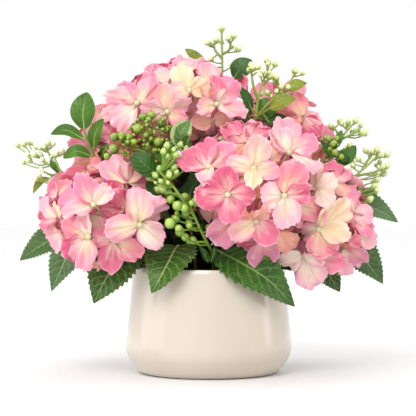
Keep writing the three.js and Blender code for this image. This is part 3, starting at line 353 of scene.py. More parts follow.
# ------------------------------------------------------------------ what stands where (mm), as in the CAD model
HEADS = {
    1: dict(c=(-87, -45, 132), r=(55, 48, 47), foot=(-12, -7), bend=(-24, -12, 98)),
    2: dict(c=(-26, -6, 222), r=(60, 52, 46), foot=(-3, 1), bend=(-5, 0, 120)),
    3: dict(c=(34, -48, 155), r=(61, 55, 58), foot=(7, -12), bend=(11, -18, 100)),
    4: dict(c=(95, -15, 129), r=(48, 47, 47), foot=(14, -3), bend=(30, -5, 99)),
    5: dict(c=(57, 25, 206), r=(49, 47, 47), foot=(9, 5), bend=(16, 8, 120)),
    6: dict(c=(-84, 22, 188), r=(40, 38, 39), foot=(-14, 4), bend=(-28, 3, 122)),
    7: dict(c=(-62, 60, 142), r=(51, 50, 50), foot=(-9, 12), bend=(-17, 19, 100)),
    8: dict(c=(44, 68, 150), r=(54, 50, 52), foot=(6, 14), bend=(11, 21, 100)),
}
LEAVES = [  # stem, share of the way up it, way point of the petiole, midrib, half width, upper side
    (1, 0.30, None, [[-25.3, -36, 107.6], [-32.9, -60, 94.5], [-39.1, -68, 82.8], [-46, -69, 70.7]], 20, (-0.25, -0.85, 0.5)),
    (1, 0.34, (-52, -20, 113), [[-65.9, -30, 107.4], [-75.8, -42, 93.9], [-85.9, -50, 77.1], [-93.9, -52, 60]], 21, (-0.2, -0.9, 0.4)),
    (1, 0.40, None, [[-104.2, -16, 113.8], [-115.7, -18, 102.1], [-124.6, -20, 83.9], [-131.8, -22, 67.7]], 14.5, (-0.35, -0.85, 0.4)),
    (6, 0.22, None, [[-120.9, 2, 116.8], [-133.6, 2, 111.7], [-147.8, 0, 103.3], [-160.4, -3, 93.7]], 13.5, (-0.15, -0.75, 0.65)),
    (4, 0.40, None, [[116.3, 12, 142.2], [129.1, 12, 141.4], [145.9, 10, 136.2], [160.7, 8, 126.9]], 13.5, (0.2, -0.8, 0.6)),
    (4, 0.34, None, [[115.8, -2, 111.8], [125.7, -4, 101.7], [136.5, -6, 88.3], [146.6, -8, 74.7]], 15, (0.3, -0.85, 0.4)),
    (4, 0.28, None, [[81.6, -8, 103.5], [91.3, -14, 93.7], [101, -18, 81.3], [110, -20, 67.6]], 15, (0.2, -0.9, 0.4)),
    (3, 0.30, (6, -29.5, 103.5), [[10.8, -42, 102], [27.5, -58, 93.7], [47.7, -58, 80.8], [71.3, -46, 57.2]], 18.5, (0.15, -0.9, 0.45)),
    (7, 0.34, None, [[-72, 52, 104], [-88, 68, 105], [-103, 83, 98], [-114, 94, 86]], 19, (-0.4, 0.4, 0.8)),
    (7, 0.28, None, [[-28, 58, 100], [-34, 78, 96], [-40, 94, 80], [-44, 104, 58]], 21, (-0.2, 0.8, 0.5)),
    (8, 0.28, None, [[18, 58, 100], [24, 80, 96], [32, 96, 80], [38, 104, 60]], 21, (0.2, 0.8, 0.5)),
    (8, 0.34, None, [[74, 48, 104], [90, 62, 105], [104, 76, 99], [115, 87, 88]], 19, (0.4, 0.4, 0.8)),
]
LEAF_TONES = [  # blade, veins
    ((54, 106, 36), (188, 204, 130)), ((52, 102, 42), (168, 190, 116)), ((68, 114, 68), (170, 192, 136)), ((58, 102, 46), (150, 176, 104)),
    ((88, 126, 92), (170, 190, 144)), ((62, 106, 58), (160, 182, 122)), ((54, 100, 50), (160, 182, 116)), ((50, 104, 34), (146, 178, 94)),
    ((54, 104, 42), (158, 182, 108)), ((52, 102, 38), (158, 182, 108)), ((54, 104, 44), (158, 182, 108)), ((58, 106, 48), (158, 182, 108)),
]

# Florets seen from the front: centre x, y in the 416-step frame, level behind the front, centre shown, petals.
# A petal is the box of what shows of it: x from, x to, y from, y to, tint, and what is special.
# Many florets behind the front ones take the deep, dusky and mauve tints, which paint shade into their colour.
F = {}
F[1] = [
    (93.7, 204.6, 0, 1, [(75.5, 98, 170, 206, "pink"), (61, 92.5, 198, 218.5, "pale"), (57, 78, 188, 214, "pink", dict(z=-3)),
                         (95, 108, 181, 210, "white_pink", dict(fold=0.5, z=1.5))]),
    (88.8, 236.1, 0, 1, [(59, 84, 216, 239, "peach_pink"), (61, 82, 237, 261, "hot", dict(z=-3)), (69, 96, 238, 271, "pink_cream"),
                         (79, 95, 212, 234, "white_pink", dict(fold=0.45, z=2))]),
    (114, 240.4, 1, 1, [(94, 112, 229, 250, "hot_pink"), (96, 123, 240, 274, "hot_pink"), (118, 142, 238, 263, "peach_pink", dict(z=-1)), (104, 124, 222, 240, "dusky_peach", dict(z=-2))]),
    (139.1, 224.7, 0, 1, [(122.5, 153.6, 188.3, 222, "cream_pink", dict(z=0.8)), (106, 137.5, 214.2, 242.4, "pink_cream", dict(z=1.4)),
                          (137, 167.5, 219.6, 249, "white_pink", dict(z=1.6)), (142, 171, 199.4, 223, "pale", dict(z=-2))]),
    (58, 218, 1, 0, [(34, 56, 200.5, 217, "pale"), (38, 57, 214.5, 229, "hot_pink"), (54, 64, 204, 219, "cream")]),
    (58, 196, 2, 0, [(47, 57, 181, 202, "pink"), (56, 74, 184, 200, "peach_pink")]),
    (60, 232, 1, 0, [(44.5, 58, 224, 246, "pale"), (52, 67, 223, 243, "hot_pink", dict(z=1)), (50, 62, 236, 253, "pale"), (60, 75, 226, 246, "dusky_pink", dict(z=-2))]),
    (92, 254, 2, 0, [(84, 99, 254, 271, "dusky"), (70, 88, 248, 266, "dusky_pink")]),
    (119, 181, 1, 0, [(105, 129, 179.5, 198, "deep", dict(z=2))]),
    (127, 184, 1, 0, [(98.5, 124, 156.5, 182, "pink_cream"), (119, 138, 157, 181, "hot_pink", dict(z=-1)), (118, 139, 168, 191, "peach", dict(z=1.5, fold=0.3)),
                      (128, 152, 173, 190.5, "pink", dict(z=0.5))]),
    (126, 209, 1, 0, [(102, 124, 197, 217, "hot_pink", dict(z=-1)), (111, 131, 190, 206, "hot", dict(z=-1)), (112, 132, 208, 226, "dusky_pink", dict(z=-6))]),
]
F[2] = [
    (137.8, 103, 0, 1, [(115.5, 140, 79, 103, "pink"), (137.5, 158, 75.5, 104, "pink_cream"), (103.5, 134, 88, 111.5, "pale"), (107.5, 138.5, 102, 130.5, "pale", dict(z=0.6)),
                        (137, 157, 71, 88, "peach_pink", dict(z=-4))]),
    (188.8, 90.9, 0, 1, [(170.5, 194, 63.5, 92, "cream", dict(z=1)), (188, 210, 75.5, 99.5, "cream", dict(z=0.6)), (171, 189, 82, 100, "cream_pink")]),
    (168, 84, 1, 0, [(151, 170, 65, 86, "white_pink"), (160, 174, 66, 86, "hot_pink", dict(z=-2))]),
    (167.6, 111.7, 0, 1, [(154, 179, 84, 112, "peach", dict(z=-0.6)), (138.5, 166, 101.5, 117, "pale"), (164, 188.5, 108, 125.6, "peach_pink", dict(z=0.8)), (172, 193.5, 96.5, 113, "white_pink"),
                          (146, 168, 112, 132, "peach", dict(z=-3))]),
    (180, 72, 2, 0, [(171, 197, 55.5, 71, "pink_cream"), (160, 174, 62.5, 74, "hot"), (152, 163, 65, 73, "hot_pink")]),
    (200, 76, 2, 0, [(196, 211, 60.5, 71, "pale"), (190, 213, 67, 81, "pink")]),
    (208, 85, 1, 0, [(197.5, 220, 60.5, 82, "pink_cream"), (200, 216, 78, 98, "dusky_peach", dict(z=-2))]),
    (216.3, 104.2, 0, 1, [(216, 240.5, 75.5, 104, "pink"), (207, 220, 75.5, 103, "hot_pink", dict(fold=0.4, z=-0.6)), (218, 248, 100.5, 120.5, "pale", dict(z=0.8)),
                          (196.5, 220, 97, 116.4, "cream_pink", dict(z=1))]),
    (214, 118, 1, 0, [(204, 226, 112, 132, "pale", dict(z=3)), (216, 232, 110, 130, "peach", dict(z=2)), (192, 212, 110, 130, "peach", dict(z=1))]),
    (120, 120, 2, 0, [(106, 124, 112, 132, "dusky_pink"), (118, 136, 122, 142, "dusky_peach"), (104, 120, 104, 120, "pale")]),
    (150, 125, 2, 0, [(140, 156, 122, 142, "dusky_peach"), (150, 168, 120, 138, "dusky")]),
    (180, 128, 2, 0, [(168, 182, 124, 142, "dusky_peach"), (180, 198, 122, 140, "dusky")]),
]
F[3] = [
    (209.3, 166.8, 0, 1, [(192.5, 220, 136.5, 168, "hot_pink"), (209, 234, 137.5, 168, "pink"), (176, 210, 149.5, 175.5, "hot_pink", dict(z=0.6)), (197.5, 216, 164, 184, "pale", dict(fold=0.35))]),
    (228.2, 194.6, 0, 1, [(213.5, 240.5, 165.5, 195, "hot", dict(z=0.2)), (226, 254.5, 181.5, 208, "hot_pink", dict(z=1.6)), (215, 246, 193, 223, "hot_pink", dict(z=2)), (194, 229, 179.5, 210.5, "hot", dict(z=1.4))]),
    (253.5, 168.6, 0, 1, [(241.5, 271.5, 133.5, 169, "peach", dict(z=0)), (226.5, 254, 152.5, 175, "cream_pink", dict(z=0.8)), (243.5, 264.5, 167, 186.5, "cream", dict(z=2)), (254, 280, 158.5, 180.5, "pink_cream", dict(z=1))]),
    (283.7, 195.6, 0, 1, [(274.5, 308.5, 160.5, 196, "peach_pink", dict(z=0)), (262.5, 284, 181.5, 210.5, "white_pink", dict(z=0.6)), (284, 312.5, 182.5, 206.5, "hot_pink", dict(z=1.6)), (271, 303, 194, 227.5, "white_pink", dict(z=2.2))]),
    (288.6, 153.2, 0, 1, [(271.5, 300.5, 115, 153, "pink_cream"), (287, 321.5, 130, 154, "pink", dict(z=0.8)), (288.5, 322, 149.5, 165, "white_pink", dict(z=1.8)), (268.5, 288, 124.5, 155, "white_pink", dict(z=-0.6, fold=0.25))]),
    (249, 143, 2, 0, [(244.5, 272, 124.5, 142, "hot_pink"), (244.5, 266, 119.5, 140, "pale", dict(z=-1.5)), (221, 248, 123.5, 142, "hot_pink"), (230, 250, 140, 156, "dusky_peach", dict(z=-2))]),
    (272, 164, 1, 0, [(267, 281.5, 137.5, 164, "peach"), (272, 286, 160, 176, "dusky_peach", dict(z=-2))]),
    (298, 205, 1, 0, [(298, 324.5, 194.5, 221, "peach_pink"), (286, 304, 206, 226, "dusky_peach", dict(z=-3))]),
    (255.8, 220, 0, 1, [(252, 267.5, 205, 219, "peach", dict(fold=0.4, z=0.6)), (226.5, 257, 216.5, 241.5, "cream_pink", dict(z=0.8)), (252.5, 279.5, 216.5, 246, "hot_pink", dict(z=1.4)), (243, 256, 210, 220, "dusky", dict(z=-0.6))]),
    (236, 219, 2, 0, [(208.5, 238, 217, 248.5, "mauve", dict(z=7)), (224, 242, 206, 222, "dusky_peach", dict(z=-2))]),
    (262, 239, 2, 0, [(247, 280.5, 238, 265, "mauve", dict(z=13)), (236.5, 256, 238, 251, "hot", dict(z=8))]),
    (277, 231, 2, 0, [(274, 300, 232, 254.5, "dusky_peach", dict(z=11)), (278, 295, 222, 236, "dusky_peach", dict(z=4))]),
    (262, 198, 2, 0, [(250, 266, 186, 204, "dusky_peach"), (258, 274, 194, 212, "dusky_peach"), (256, 270, 204, 218, "dusky_peach")]),
    (240, 178, 2, 0, [(234, 248, 170, 186, "dusky_peach"), (222, 240, 164, 180, "dusky")]),
]
F[4] = [
    (316, 189, 0, 0, [(307, 322, 161.5, 190, "white", dict(z=0.4)), (314, 338.5, 173.5, 193, "white", dict(z=1.2)), (306, 317, 178, 194, "cream", dict(fold=0.3, z=1)), (311, 336.5, 187, 206, "white", dict(z=0.8))]),
    (318.8, 229, 0, 1, [(320, 350.5, 217, 244, "cream", dict(z=1.2)), (301, 320, 220, 243, "white_pink", dict(z=0.6)), (325, 350, 194.5, 222, "cream", dict(z=1.6, fold=0.2)), (312, 328, 204, 228, "pink_cream", dict(z=0.6, fold=0.3)), (299.5, 343.5, 228, 258, "peach_pink", dict(z=-1))]),
    (301, 254, 0, 0, [(295, 326, 252, 288, "white_pink", dict(z=9)), (276.5, 302, 251, 269, "white", dict(z=13)), (300, 342.5, 248, 271, "pink", dict(z=5)), (297.5, 322.5, 251, 261, "white_pink", dict(z=10, fold=0.3))]),
    (345, 247, 1, 0, [(338, 357.5, 234.5, 250, "peach_pink"), (336.5, 356.5, 246, 276.5, "pale", dict(z=1)), (346, 370.5, 246, 269, "mauve")]),
    (352, 214, 1, 0, [(351, 376, 203.5, 227, "pale"), (360, 378.5, 214, 237, "pink", dict(z=-3)), (350, 368.5, 212, 234, "hot", dict(z=1)), (348, 362, 190.5, 214, "pink"), (340, 352, 206, 222, "dusky_peach", dict(z=-5))]),
    (358, 234, 1, 0, [(357, 378.5, 227, 249, "pale"), (350, 364, 226, 244, "hot_pink", dict(z=1)), (344, 358, 230, 248, "dusky_peach", dict(z=-2))]),
    (338, 184, 2, 0, [(336, 355, 178, 191, "pink"), (334, 350, 166.5, 184, "pink"), (322, 339, 159.5, 180, "hot_pink"), (337, 350, 187, 197, "peach", dict(z=1))]),
    (330, 208, 2, 0, [(322, 340, 200, 220, "dusky_peach", dict(z=-4)), (330, 348, 206, 222, "dusky_peach", dict(z=-4))]),
    (322, 246, 2, 0, [(306, 322, 240, 256, "dusky_peach"), (322, 340, 240, 258, "dusky_peach")]),
]
F[5] = [
    (303, 117, 0, 0, [(285.5, 309.5, 91.5, 117, "peach_pink"), (303, 323, 109, 125, "pale"), (302.5, 325.5, 116, 137.5, "hot", dict(z=1)), (290, 304, 116, 132, "dusky_peach", dict(z=-2))]),
    (322, 146, 1, 0, [(318, 336, 125.5, 147, "pink"), (320, 337, 146, 165, "hot_pink", dict(z=-1)), (306, 323, 142, 162, "dusky_peach", dict(z=-2))]),
    (320, 160, 2, 0, [(310, 328, 156, 172, "dusky_pink"), (318, 334, 150, 168, "dusky_peach")]),
    (246, 96, 1, 0, [(233, 251.5, 73.5, 96, "hot")]),
    (259, 104, 1, 0, [(251, 273.5, 79.5, 104, "pink"), (262, 280, 100, 116, "dusky_pink", dict(z=-2)), (244, 260, 100, 118, "dusky_pink", dict(z=-2))]),
    (280, 118, 2, 0, [(270, 284, 106, 122, "dusky_pink"), (278, 296, 112, 130, "dusky_peach")]),
]
F[6] = [
    (97, 124, 0, 0, [(94, 111, 105.5, 124, "pale"), (79.5, 98, 124, 146.5, "pale", dict(z=1)), (100, 112, 120, 146, "hot"), (82, 97, 112, 126, "pink_cream", dict(z=-1))]),
    (92, 150, 1, 0, [(67.5, 92, 138.5, 154, "pink"), (88, 104, 148, 166, "dusky_pink"), (74, 92, 150, 164, "pink_cream", dict(z=-2))]),
    (94, 160, 1, 0, [(68.5, 94, 160, 175.5, "peach"), (92, 108, 158, 174, "dusky_peach")]),
    (124, 140, 1, 0, [(110, 126, 125, 142, "dusky_pink"), (122, 140, 130, 146, "hot_pink"), (116, 134, 142, 160, "dusky"), (108, 124, 138, 154, "dusky_pink")]),
    (108, 112, 1, 0, [(102, 116, 98, 114, "pink_cream"), (108, 124, 108, 124, "dusky_pink")]),
]
F[7] = []
F[8] = []


FORWARD = {(1, 139.1): 7, (1, 93.7): 3, (1, 88.8): 2, (3, 228.2): 4, (3, 283.7): 4, (3, 253.5): 2, (4, 318.8): 6, (4, 316): 14, (2, 188.8): 3, (2, 216.3): 2, (2, 137.8): 2}


# ------------------------------------------------------------------ stems
def stem_path(h):
    q = HEADS[h]
    c, r, bend = np.array(q["c"], float), np.array(q["r"], float), np.array(q["bend"], float)
    u = unit(c - bend)
    reach = 1 / math.sqrt(np.sum((u / r) ** 2))
    end = c - u * (reach - 10)
    return [(q["foot"][0], q["foot"][1], 73), bend, (bend + end) / 2, end]


def rotate(v, axis, a):
    axis = unit(axis)
    return v * math.cos(a) + np.cross(axis, v) * math.sin(a) + axis * (axis @ v) * (1 - math.cos(a))


def on_head(h, px, py, k):
    """The point on the front of a head, at k of its radii, that shows at px, py; and the head's outward direction there."""
    c, r = np.array(HEADS[h]["c"], float), np.array(HEADS[h]["r"], float)
    y = c[1] - r[1] * 0.7
    for _ in range(4):
        p = at(px, py, y)
        q = ((p[0] - c[0]) / r[0]) ** 2 + ((p[2] - c[2]) / r[2]) ** 2
        y = c[1] - r[1] * math.sqrt(max(k * k - q, 0.02))
    p = at(px, py, y)
    n = unit((p - c) / r**2)
    return p, n


VIEW_Y = np.array([0.0, 1.0, 0.0])


def seen_petal(b, p, n, box, rng, level, order):
    """A petal from floret centre p whose outline, seen from the front, fills the given box."""
    x0, x1, y0, y1, tint = box[:5]
    opt = box[5] if len(box) > 5 else {}
    s = VIEW_SCALE * (VIEW_DIST + p[1]) / VIEW_DIST
    bc = at((x0 + x1) / 2, (y0 + y1) / 2, p[1]) - p
    hx, hz = (x1 - x0) / 2 * s, (y1 - y0) / 2 * s
    d2 = unit([bc[0], 0, bc[2]])
    more = (1.0, 1.04, 1.10)[level]
    reach = bc @ d2 + math.hypot(hx * d2[0], hz * d2[2])
    w = 2 * math.hypot(hx * d2[2], hz * d2[0]) * more
    perp = np.array([-d2[2], 0, d2[0]])
    beta = -(d2 @ n) / min(n[1], -0.25)  # slope away from the viewer that would follow the head
    tilt = min(abs(math.atan(beta)) * 0.6, 0.6)
    least = 19.5
    length = reach / math.cos(tilt)
    if length < least:
        length = least
        tilt = min(math.acos(min(reach / length, 1)), 1.2)
    sign = 1 if beta >= 0 else -1
    if opt.get("toward"):
        sign = -1
    d3 = unit(d2 * math.cos(tilt) + sign * VIEW_Y * math.sin(tilt))
    # the petal's face looks out of the head, and partly at the viewer
    face = unit(n * 0.7 - VIEW_Y * 0.5)
    face = unit(face - d3 * (face @ d3))
    side = np.cross(face, d3)
    f = min(abs(side @ perp), 1)
    width = min(max(w / max(f, 0.2), 0.84 * length), 1.30 * length)
    need = max(min(w / width, 1), 0.66)
    turn = min(math.acos(need), 1.1) - math.acos(f)
    way = 1 if rng.random() < 0.5 else -1
    best = min((rotate(side, d3, way * turn), rotate(side, d3, -way * turn)), key=lambda q: abs(abs(q @ perp) - need))
    side = rotate(best, d3, math.radians(5) * (1 if order % 2 else -1))
    nrm = np.cross(d3, side)
    if nrm[1] > 0:
        side = -side
    fold = opt.get("fold", rng.uniform(-0.10, 0.16))
    lift = opt.get("z", 0.35 * order)
    base = p + d3 * 0.8 - VIEW_Y * lift
    petal(b, base, d3, side, length, width, rng, grid=(10, 43) if level == 0 else (8, 27), curl=opt.get("curl", rng.uniform(-0.16, 0.04)), bow=rng.uniform(-0.10, 0.12), fold=fold,
          pleat=rng.uniform(0.07, 0.11), tint=tint, ruffle=rng.uniform(0.022, 0.036), dim=1.0)
    return d3


def floret(b, p, n, rng, tints, length, grid, cup=(-0.1, 0.35), button=True, dim=1.0):
    """A floret of four petals on a point of a head, facing n."""
    side = unit(np.cross(n, [0.2, 0.5, 0.84]))
    a0 = rng.uniform(0, math.pi / 2)
    tint = tints[rng.integers(len(tints))]
    c = rng.uniform(*cup)
    for k in range(4):
        a = a0 + k * math.pi / 2 + rng.uniform(-0.12, 0.12)
        t = rotate(side, n, a)
        d = unit(t * math.cos(c) + n * math.sin(c + rng.uniform(-0.15, 0.15)))
        sd = np.cross(n, d)
        sd = rotate(unit(sd), d, math.radians(9) + rng.uniform(-0.15, 0.15))
        ln = length * rng.uniform(0.9, 1.08)
        tt = tint if rng.random() < 0.8 else tints[rng.integers(len(tints))]
        petal(b, p + d * 0.8 + n * (0.3 * k - 0.6), d, sd, ln, ln * rng.uniform(0.98, 1.2), rng, grid=grid, curl=rng.uniform(-0.25, 0.0),
              bow=rng.uniform(-0.05, 0.12), fold=rng.uniform(-0.1, 0.2), pleat=rng.uniform(0.035, 0.065), ruffle=rng.uniform(0.02, 0.032), tint=tt, dim=dim)
    if button:
        bead(b, p + n * 1.2, n, 2.2, segs=8, rows=5, slot=1, tint_in=BUTTON[0], tint_out=BUTTON[1])


BUTTON = (srgb(150, 156, 96), srgb(202, 200, 156))
PEDICEL = (srgb(120, 140, 70), srgb(196, 190, 130))
STEM_TONE = (srgb(48, 64, 18), srgb(104, 128, 44))


def seen_at(p):
    """Frame position of a point in mm."""
    s = VIEW_SCALE * (VIEW_DIST + p[1]) / VIEW_DIST
    return 208 + (p[0] - VIEW_X) / s, 208 - (p[2] - VIEW_Z) / s


OPEN = [(60, 72, 168, 184), (158, 200, 168, 258), (188, 236, 226, 275), (160, 176, 150, 262)]  # frame boxes where the heads part


def in_gap(p, grow=6):
    x, y = seen_at(p)
    if x < 150 and y < 90:  # outside the top head's left shoulder
        return True
    return p[1] < 45 and any(x0 - grow < x < x1 + grow and y0 - grow < y < y1 + grow for x0, x1, y0, y1 in OPEN)


def inside_head(p, skip, k):
    for h, q in HEADS.items():
        if h != skip and np.sum(((p - np.array(q["c"])) / np.array(q["r"])) ** 2) < k * k:
            return True
    return False


def fib(n, rng):
    i = np.arange(n) + 0.5
    z = 1 - 2 * i / n
    a = i * math.pi * (1 + math.sqrt(5)) + rng.uniform(0, 6.28)
    r = np.sqrt(1 - z * z)
    return np.stack([r * np.cos(a), r * np.sin(a), z], axis=1)


def flower_head(h):
    rng = np.random.default_rng(100 + h)
    b = Build()
    q = HEADS[h]
    c, r = np.array(q["c"], float), np.array(q["r"], float)
    path = [np.array(x, float) for x in stem_path(h)]
    top = path[-1]
    up = unit(top - path[-2])
    hub = top + up * 6
    seen = []
    for cx, cy, level, button, petals in F[h]:
        p, n = on_head(h, cx, cy, (0.90, 0.83, 0.74)[level])
        p = at(cx, cy, p[1] - FORWARD.get((h, cx), 0))
        seen.append(p)
        dirs = []
        for order, box in enumerate(petals):
            dirs.append(seen_petal(b, p, n, box, rng, level, order))
        axis = unit(n * 0.5 - VIEW_Y)
        if button:
            bead(b, p + axis * 1.9, axis, 2.45, segs=14, rows=8, slot=1, tint_in=BUTTON[0], tint_out=BUTTON[1])
            if True:
                ring = 8
                for k in range(ring):
                    t = rotate(unit(np.cross(axis, [0.3, 0.2, 0.9])), axis, k * 2 * math.pi / ring)
                    bead(b, p + axis * 0.7 + t * 1.9, t, 0.5, segs=5, rows=4, slot=1, tint_in=PEDICEL[0], tint_out=PEDICEL[0])
        tube(b, [hub, (hub * 0.45 + p * 0.55) + (p - c) * 0.04 - [0, 0, 3], p + (c - p) * 0.03], 0.8, 0.6, sides=5, n=6, slot=1, tint_in=PEDICEL[0], tint_out=PEDICEL[1])
    # florets on the other sides, and a deeper layer that shows between the front ones
    count = int(4 * math.pi * (np.mean(r) * 0.9) ** 2 / 21.0**2)
    outer = ["pink", "pale", "pink_cream", "hot_pink", "peach_pink", "cream_pink", "white_pink", "pale"]
    # the deeper layer takes dusky_pink for a third of its florets: painted shade between the front florets.
    inner = ["dusky_pink", "pink_cream", "peach_pink", "dusky_pink", "peach_pink", "pink"]
    for v in fib(count, rng):
        slim = 1 if h in (7, 8) else 0.88
        p = c + v * r * 0.90 * np.array([slim, 1, slim])
        n = unit((v / r))
        if v @ -up > 0.62:
            continue
        if h not in (7, 8) and v[1] < (0.3 if v[2] < -0.4 or h in (5, 6) else -0.25):
            continue
        if h not in (7, 8) and v[1] < 0.15:
            p = c + v * r * 0.78
        if in_gap(p, 10) or inside_head(p, h, 0.86) or any(np.linalg.norm(p - s) < 19 for s in seen):
            continue
        floret(b, p, n, rng, outer, 21, (6, 15))
        seen.append(p)
        tube(b, [hub, (hub + p) / 2 + (p - c) * 0.08, p], 0.7, 0.55, sides=5, n=5, slot=1, tint_in=PEDICEL[0], tint_out=PEDICEL[1])
    for v in fib(int(count * 1.15), rng):
        p = c + v * r * 0.70
        n = unit((v / r))
        if v @ -up > 0.72 or inside_head(p, h, 0.72) or in_gap(p, 10):
            continue
        floret(b, p, n, rng, inner, 18, (4, 6), cup=(-0.5, -0.1), button=False)
    return b


# ------------------------------------------------------------------ leaves
def leaf(b, rib, half, up, nu=85, nv=14, teeth=14, tooth=0.075, fold=0.22, thick=0.45, vein=0.45, nveins=7, power=0.95, skew=0.60, wave=0.9, rng=None, slot=0, skip=0, twist=0.0, **values):
    """A leaf blade along the midrib: outline, teeth, fold along the midrib, raised parts between the veins."""
    c, t = curve(rib, nu)
    v = np.linspace(0, 1, nu)
    w = half * 1.04 * np.sin(math.pi * np.clip(v * 0.995 + 0.012 * (1 - v), 0, 1) ** skew) ** power
    w[-1] = half * 0.012
    up = np.asarray(up, float)
    sides, tops = [], []
    for k in range(nu):
        s = unit(np.cross(up, t[k]))
        s = rotate(s, t[k], twist * v[k])
        sides.append(s)
        tops.append(np.cross(t[k], s))
    sides, tops = np.array(sides), np.array(tops)
    s = np.linspace(-1, 1, nv)
    s = np.sign(s) * np.abs(s) ** 0.9
    ph = rng.uniform(0, 6.28, 4)
    saw_l = ((v * teeth + 0.2) % 1.0) ** 1.2
    saw_r = ((v * teeth + 0.65) % 1.0) ** 1.2
    gate = smooth(0.04, 0.14, v) * (1 - smooth(0.95, 1.0, v) * 0.6)
    wl = w * (1 + teeth_size(teeth, tooth) * (saw_l - 0.4) * gate)
    wr = w * (1 + teeth_size(teeth, tooth) * (saw_r - 0.4) * gate)
    x = np.where(s[None, :] < 0, wl[:, None], wr[:, None]) * s[None, :]
    fw = (w * 0.16)[:, None] * (np.abs(s) ** 2)[None, :] * gate[:, None]
    aS = np.abs(s)[None, :]
    z = fold * aS * w[:, None]
    phase = v[:, None] * nveins * 1.25 - aS * 1.55 + 0.12 * (s[None, :] > 0)
    near = np.abs((phase % 1.0) - 0.5) * 2  # 1 at a vein, 0 between
    groove = np.exp(-(((1 - near) / 0.16) ** 2)) * smooth(0.02, 0.12, aS) * (1 - smooth(0.8, 1, aS))
    z = z - vein * groove * smooth(0.05, 0.2, v)[:, None] + vein * 0.8 * np.cos(math.pi * near) * -0.5 * (1 - aS) * smooth(0.0, 0.3, aS)
    z = z - vein * 1.1 * np.exp(-((aS / 0.05) ** 2))
    z = z + wave * (np.sin(v * 9 + ph[0])[:, None] * (s[None, :] > 0) + np.sin(v * 8 + ph[1])[:, None] * (s[None, :] < 0)) * aS**2 * np.sqrt(np.maximum(w[:, None], 0) / half)
    z = z + 0.5 * wave * np.sin(v * 4 + ph[2])[:, None] * s[None, :]
    verts = c[:, None, :] + sides[:, None, :] * x[..., None] + tops[:, None, :] * z[..., None] + t[:, None, :] * fw[..., None]
    verts = verts.reshape(-1, 3)
    low = verts - (tops[:, None, :] * (thick * (1 - 0.5 * aS[0]))[None, :, None]).repeat(1, axis=0).reshape(-1, 3)
    along, across = np.repeat(v, nv), np.tile(s, nu)
    faces = sheet_faces(nu, nv)
    # the grid's own direction: along x across must look to the upper side
    b.add(np.vstack([verts, low]), faces[:, ::-1], slot=slot, along=np.r_[along, along], across=np.r_[across, across], seed=rng.uniform(0, 1), fade=rng.uniform(0, 1), **values)
    return c, t


def teeth_size(teeth, tooth):
    return tooth * 2.2 if teeth else 0.0


def nearest(points, p, lower=None):
    q = np.asarray(points)
    d = np.linalg.norm(q - p, axis=1)
    if lower is not None:
        d = d + np.where(q[:, 2] > p[2] - lower, 30, 0)
    return q[int(np.argmin(d))]


def hydrangea_leaf(i):
    rng = np.random.default_rng(300 + i)
    b = Build()
    stem, share, via, rib, half, up = LEAVES[i - 1]
    line, _ = curve(stem_path(stem), 200)
    start = line[int(round(share * 199))]
    base = np.array(rib[0], float)
    rise = np.array(via, float) if via else np.array([*(start * 0.5 + base * 0.5)[:2], (start[2] + base[2]) / 2 + 3])
    full, tan = curve([start, rise] + [np.array(x, float) for x in rib], 400)
    k0 = int(np.argmin(np.linalg.norm(full - base, axis=1)))
    tone, veins = LEAF_TONES[i - 1]
    tube(b, full[: k0 + 8 : 6], 1.5, 1.15, sides=9, n=26, slot=1, tint_in=srgb(*STEM_LEAF), tint_out=srgb(*veins))
    leaf(b, full[k0::8], half, up, rng=rng, tint_in=srgb(*tone), tint_out=srgb(*veins))
    blade = full[k0:]
    tube(b, blade[: int(len(blade) * 0.9) : 10] - 0.28 * unit(up), 0.75, 0.25, sides=7, n=26, slot=1, tint_in=srgb(*veins), tint_out=srgb(*veins))
    return b


STEM_LEAF = (120, 142, 66)


# ------------------------------------------------------------------ sprays and the sprig
SPRAY_TONES = {  # stem low, stem high, bud base, bud tip
    1: ((84, 112, 34), (150, 172, 84), (168, 184, 104), (236, 238, 206)),
    2: ((84, 112, 34), (140, 162, 72), (160, 180, 96), (226, 234, 190)),
    3: ((76, 102, 28), (140, 158, 62), (150, 170, 78), (218, 226, 164)),
    4: ((84, 112, 34), (146, 168, 80), (158, 174, 92), (206, 216, 156)),
    5: ((84, 112, 34), (150, 170, 84), (164, 180, 100), (214, 222, 168)),
    6: ((84, 108, 40), (132, 150, 72), (150, 164, 84), (214, 222, 160)),
    7: ((78, 112, 26), (128, 160, 56), (120, 156, 52), (190, 210, 124)),
    8: ((96, 90, 34), (118, 128, 40), (84, 120, 20), (146, 170, 58)),
    9: ((92, 116, 46), (150, 168, 98), (170, 182, 122), (230, 232, 200)),
    10: ((92, 116, 46), (150, 168, 98), (170, 182, 122), (230, 232, 200)),
}
SMALL_LEAF = {"cream": ((84, 124, 58), (196, 208, 150)), "dark": ((46, 98, 28), (134, 166, 90)), "olive": ((146, 154, 54), (188, 192, 108)), "mid": ((84, 136, 50), (156, 188, 98))}


BUD_SIZE = {1: 1.34, 2: 1.25, 3: 1.04, 4: 1.12, 5: 1.12, 6: 1.15, 7: 1.16, 8: 1.1, 9: 1.1, 10: 1.0}
GREEN_BERRIES = {4: [(328.7, 138.7, 0, 3.0), (332.5, 144, -1, 2.8), (336.5, 138.5, 1, 2.6), (334.5, 152.5, -2, 3.2), (341, 157, -1, 2.9), (329.5, 149, 0, 2.4)],
                 1: [(72.5, 178.5, -1, 2.9), (65, 186, -2, 2.8), (69, 188.5, -2, 3.0)]}


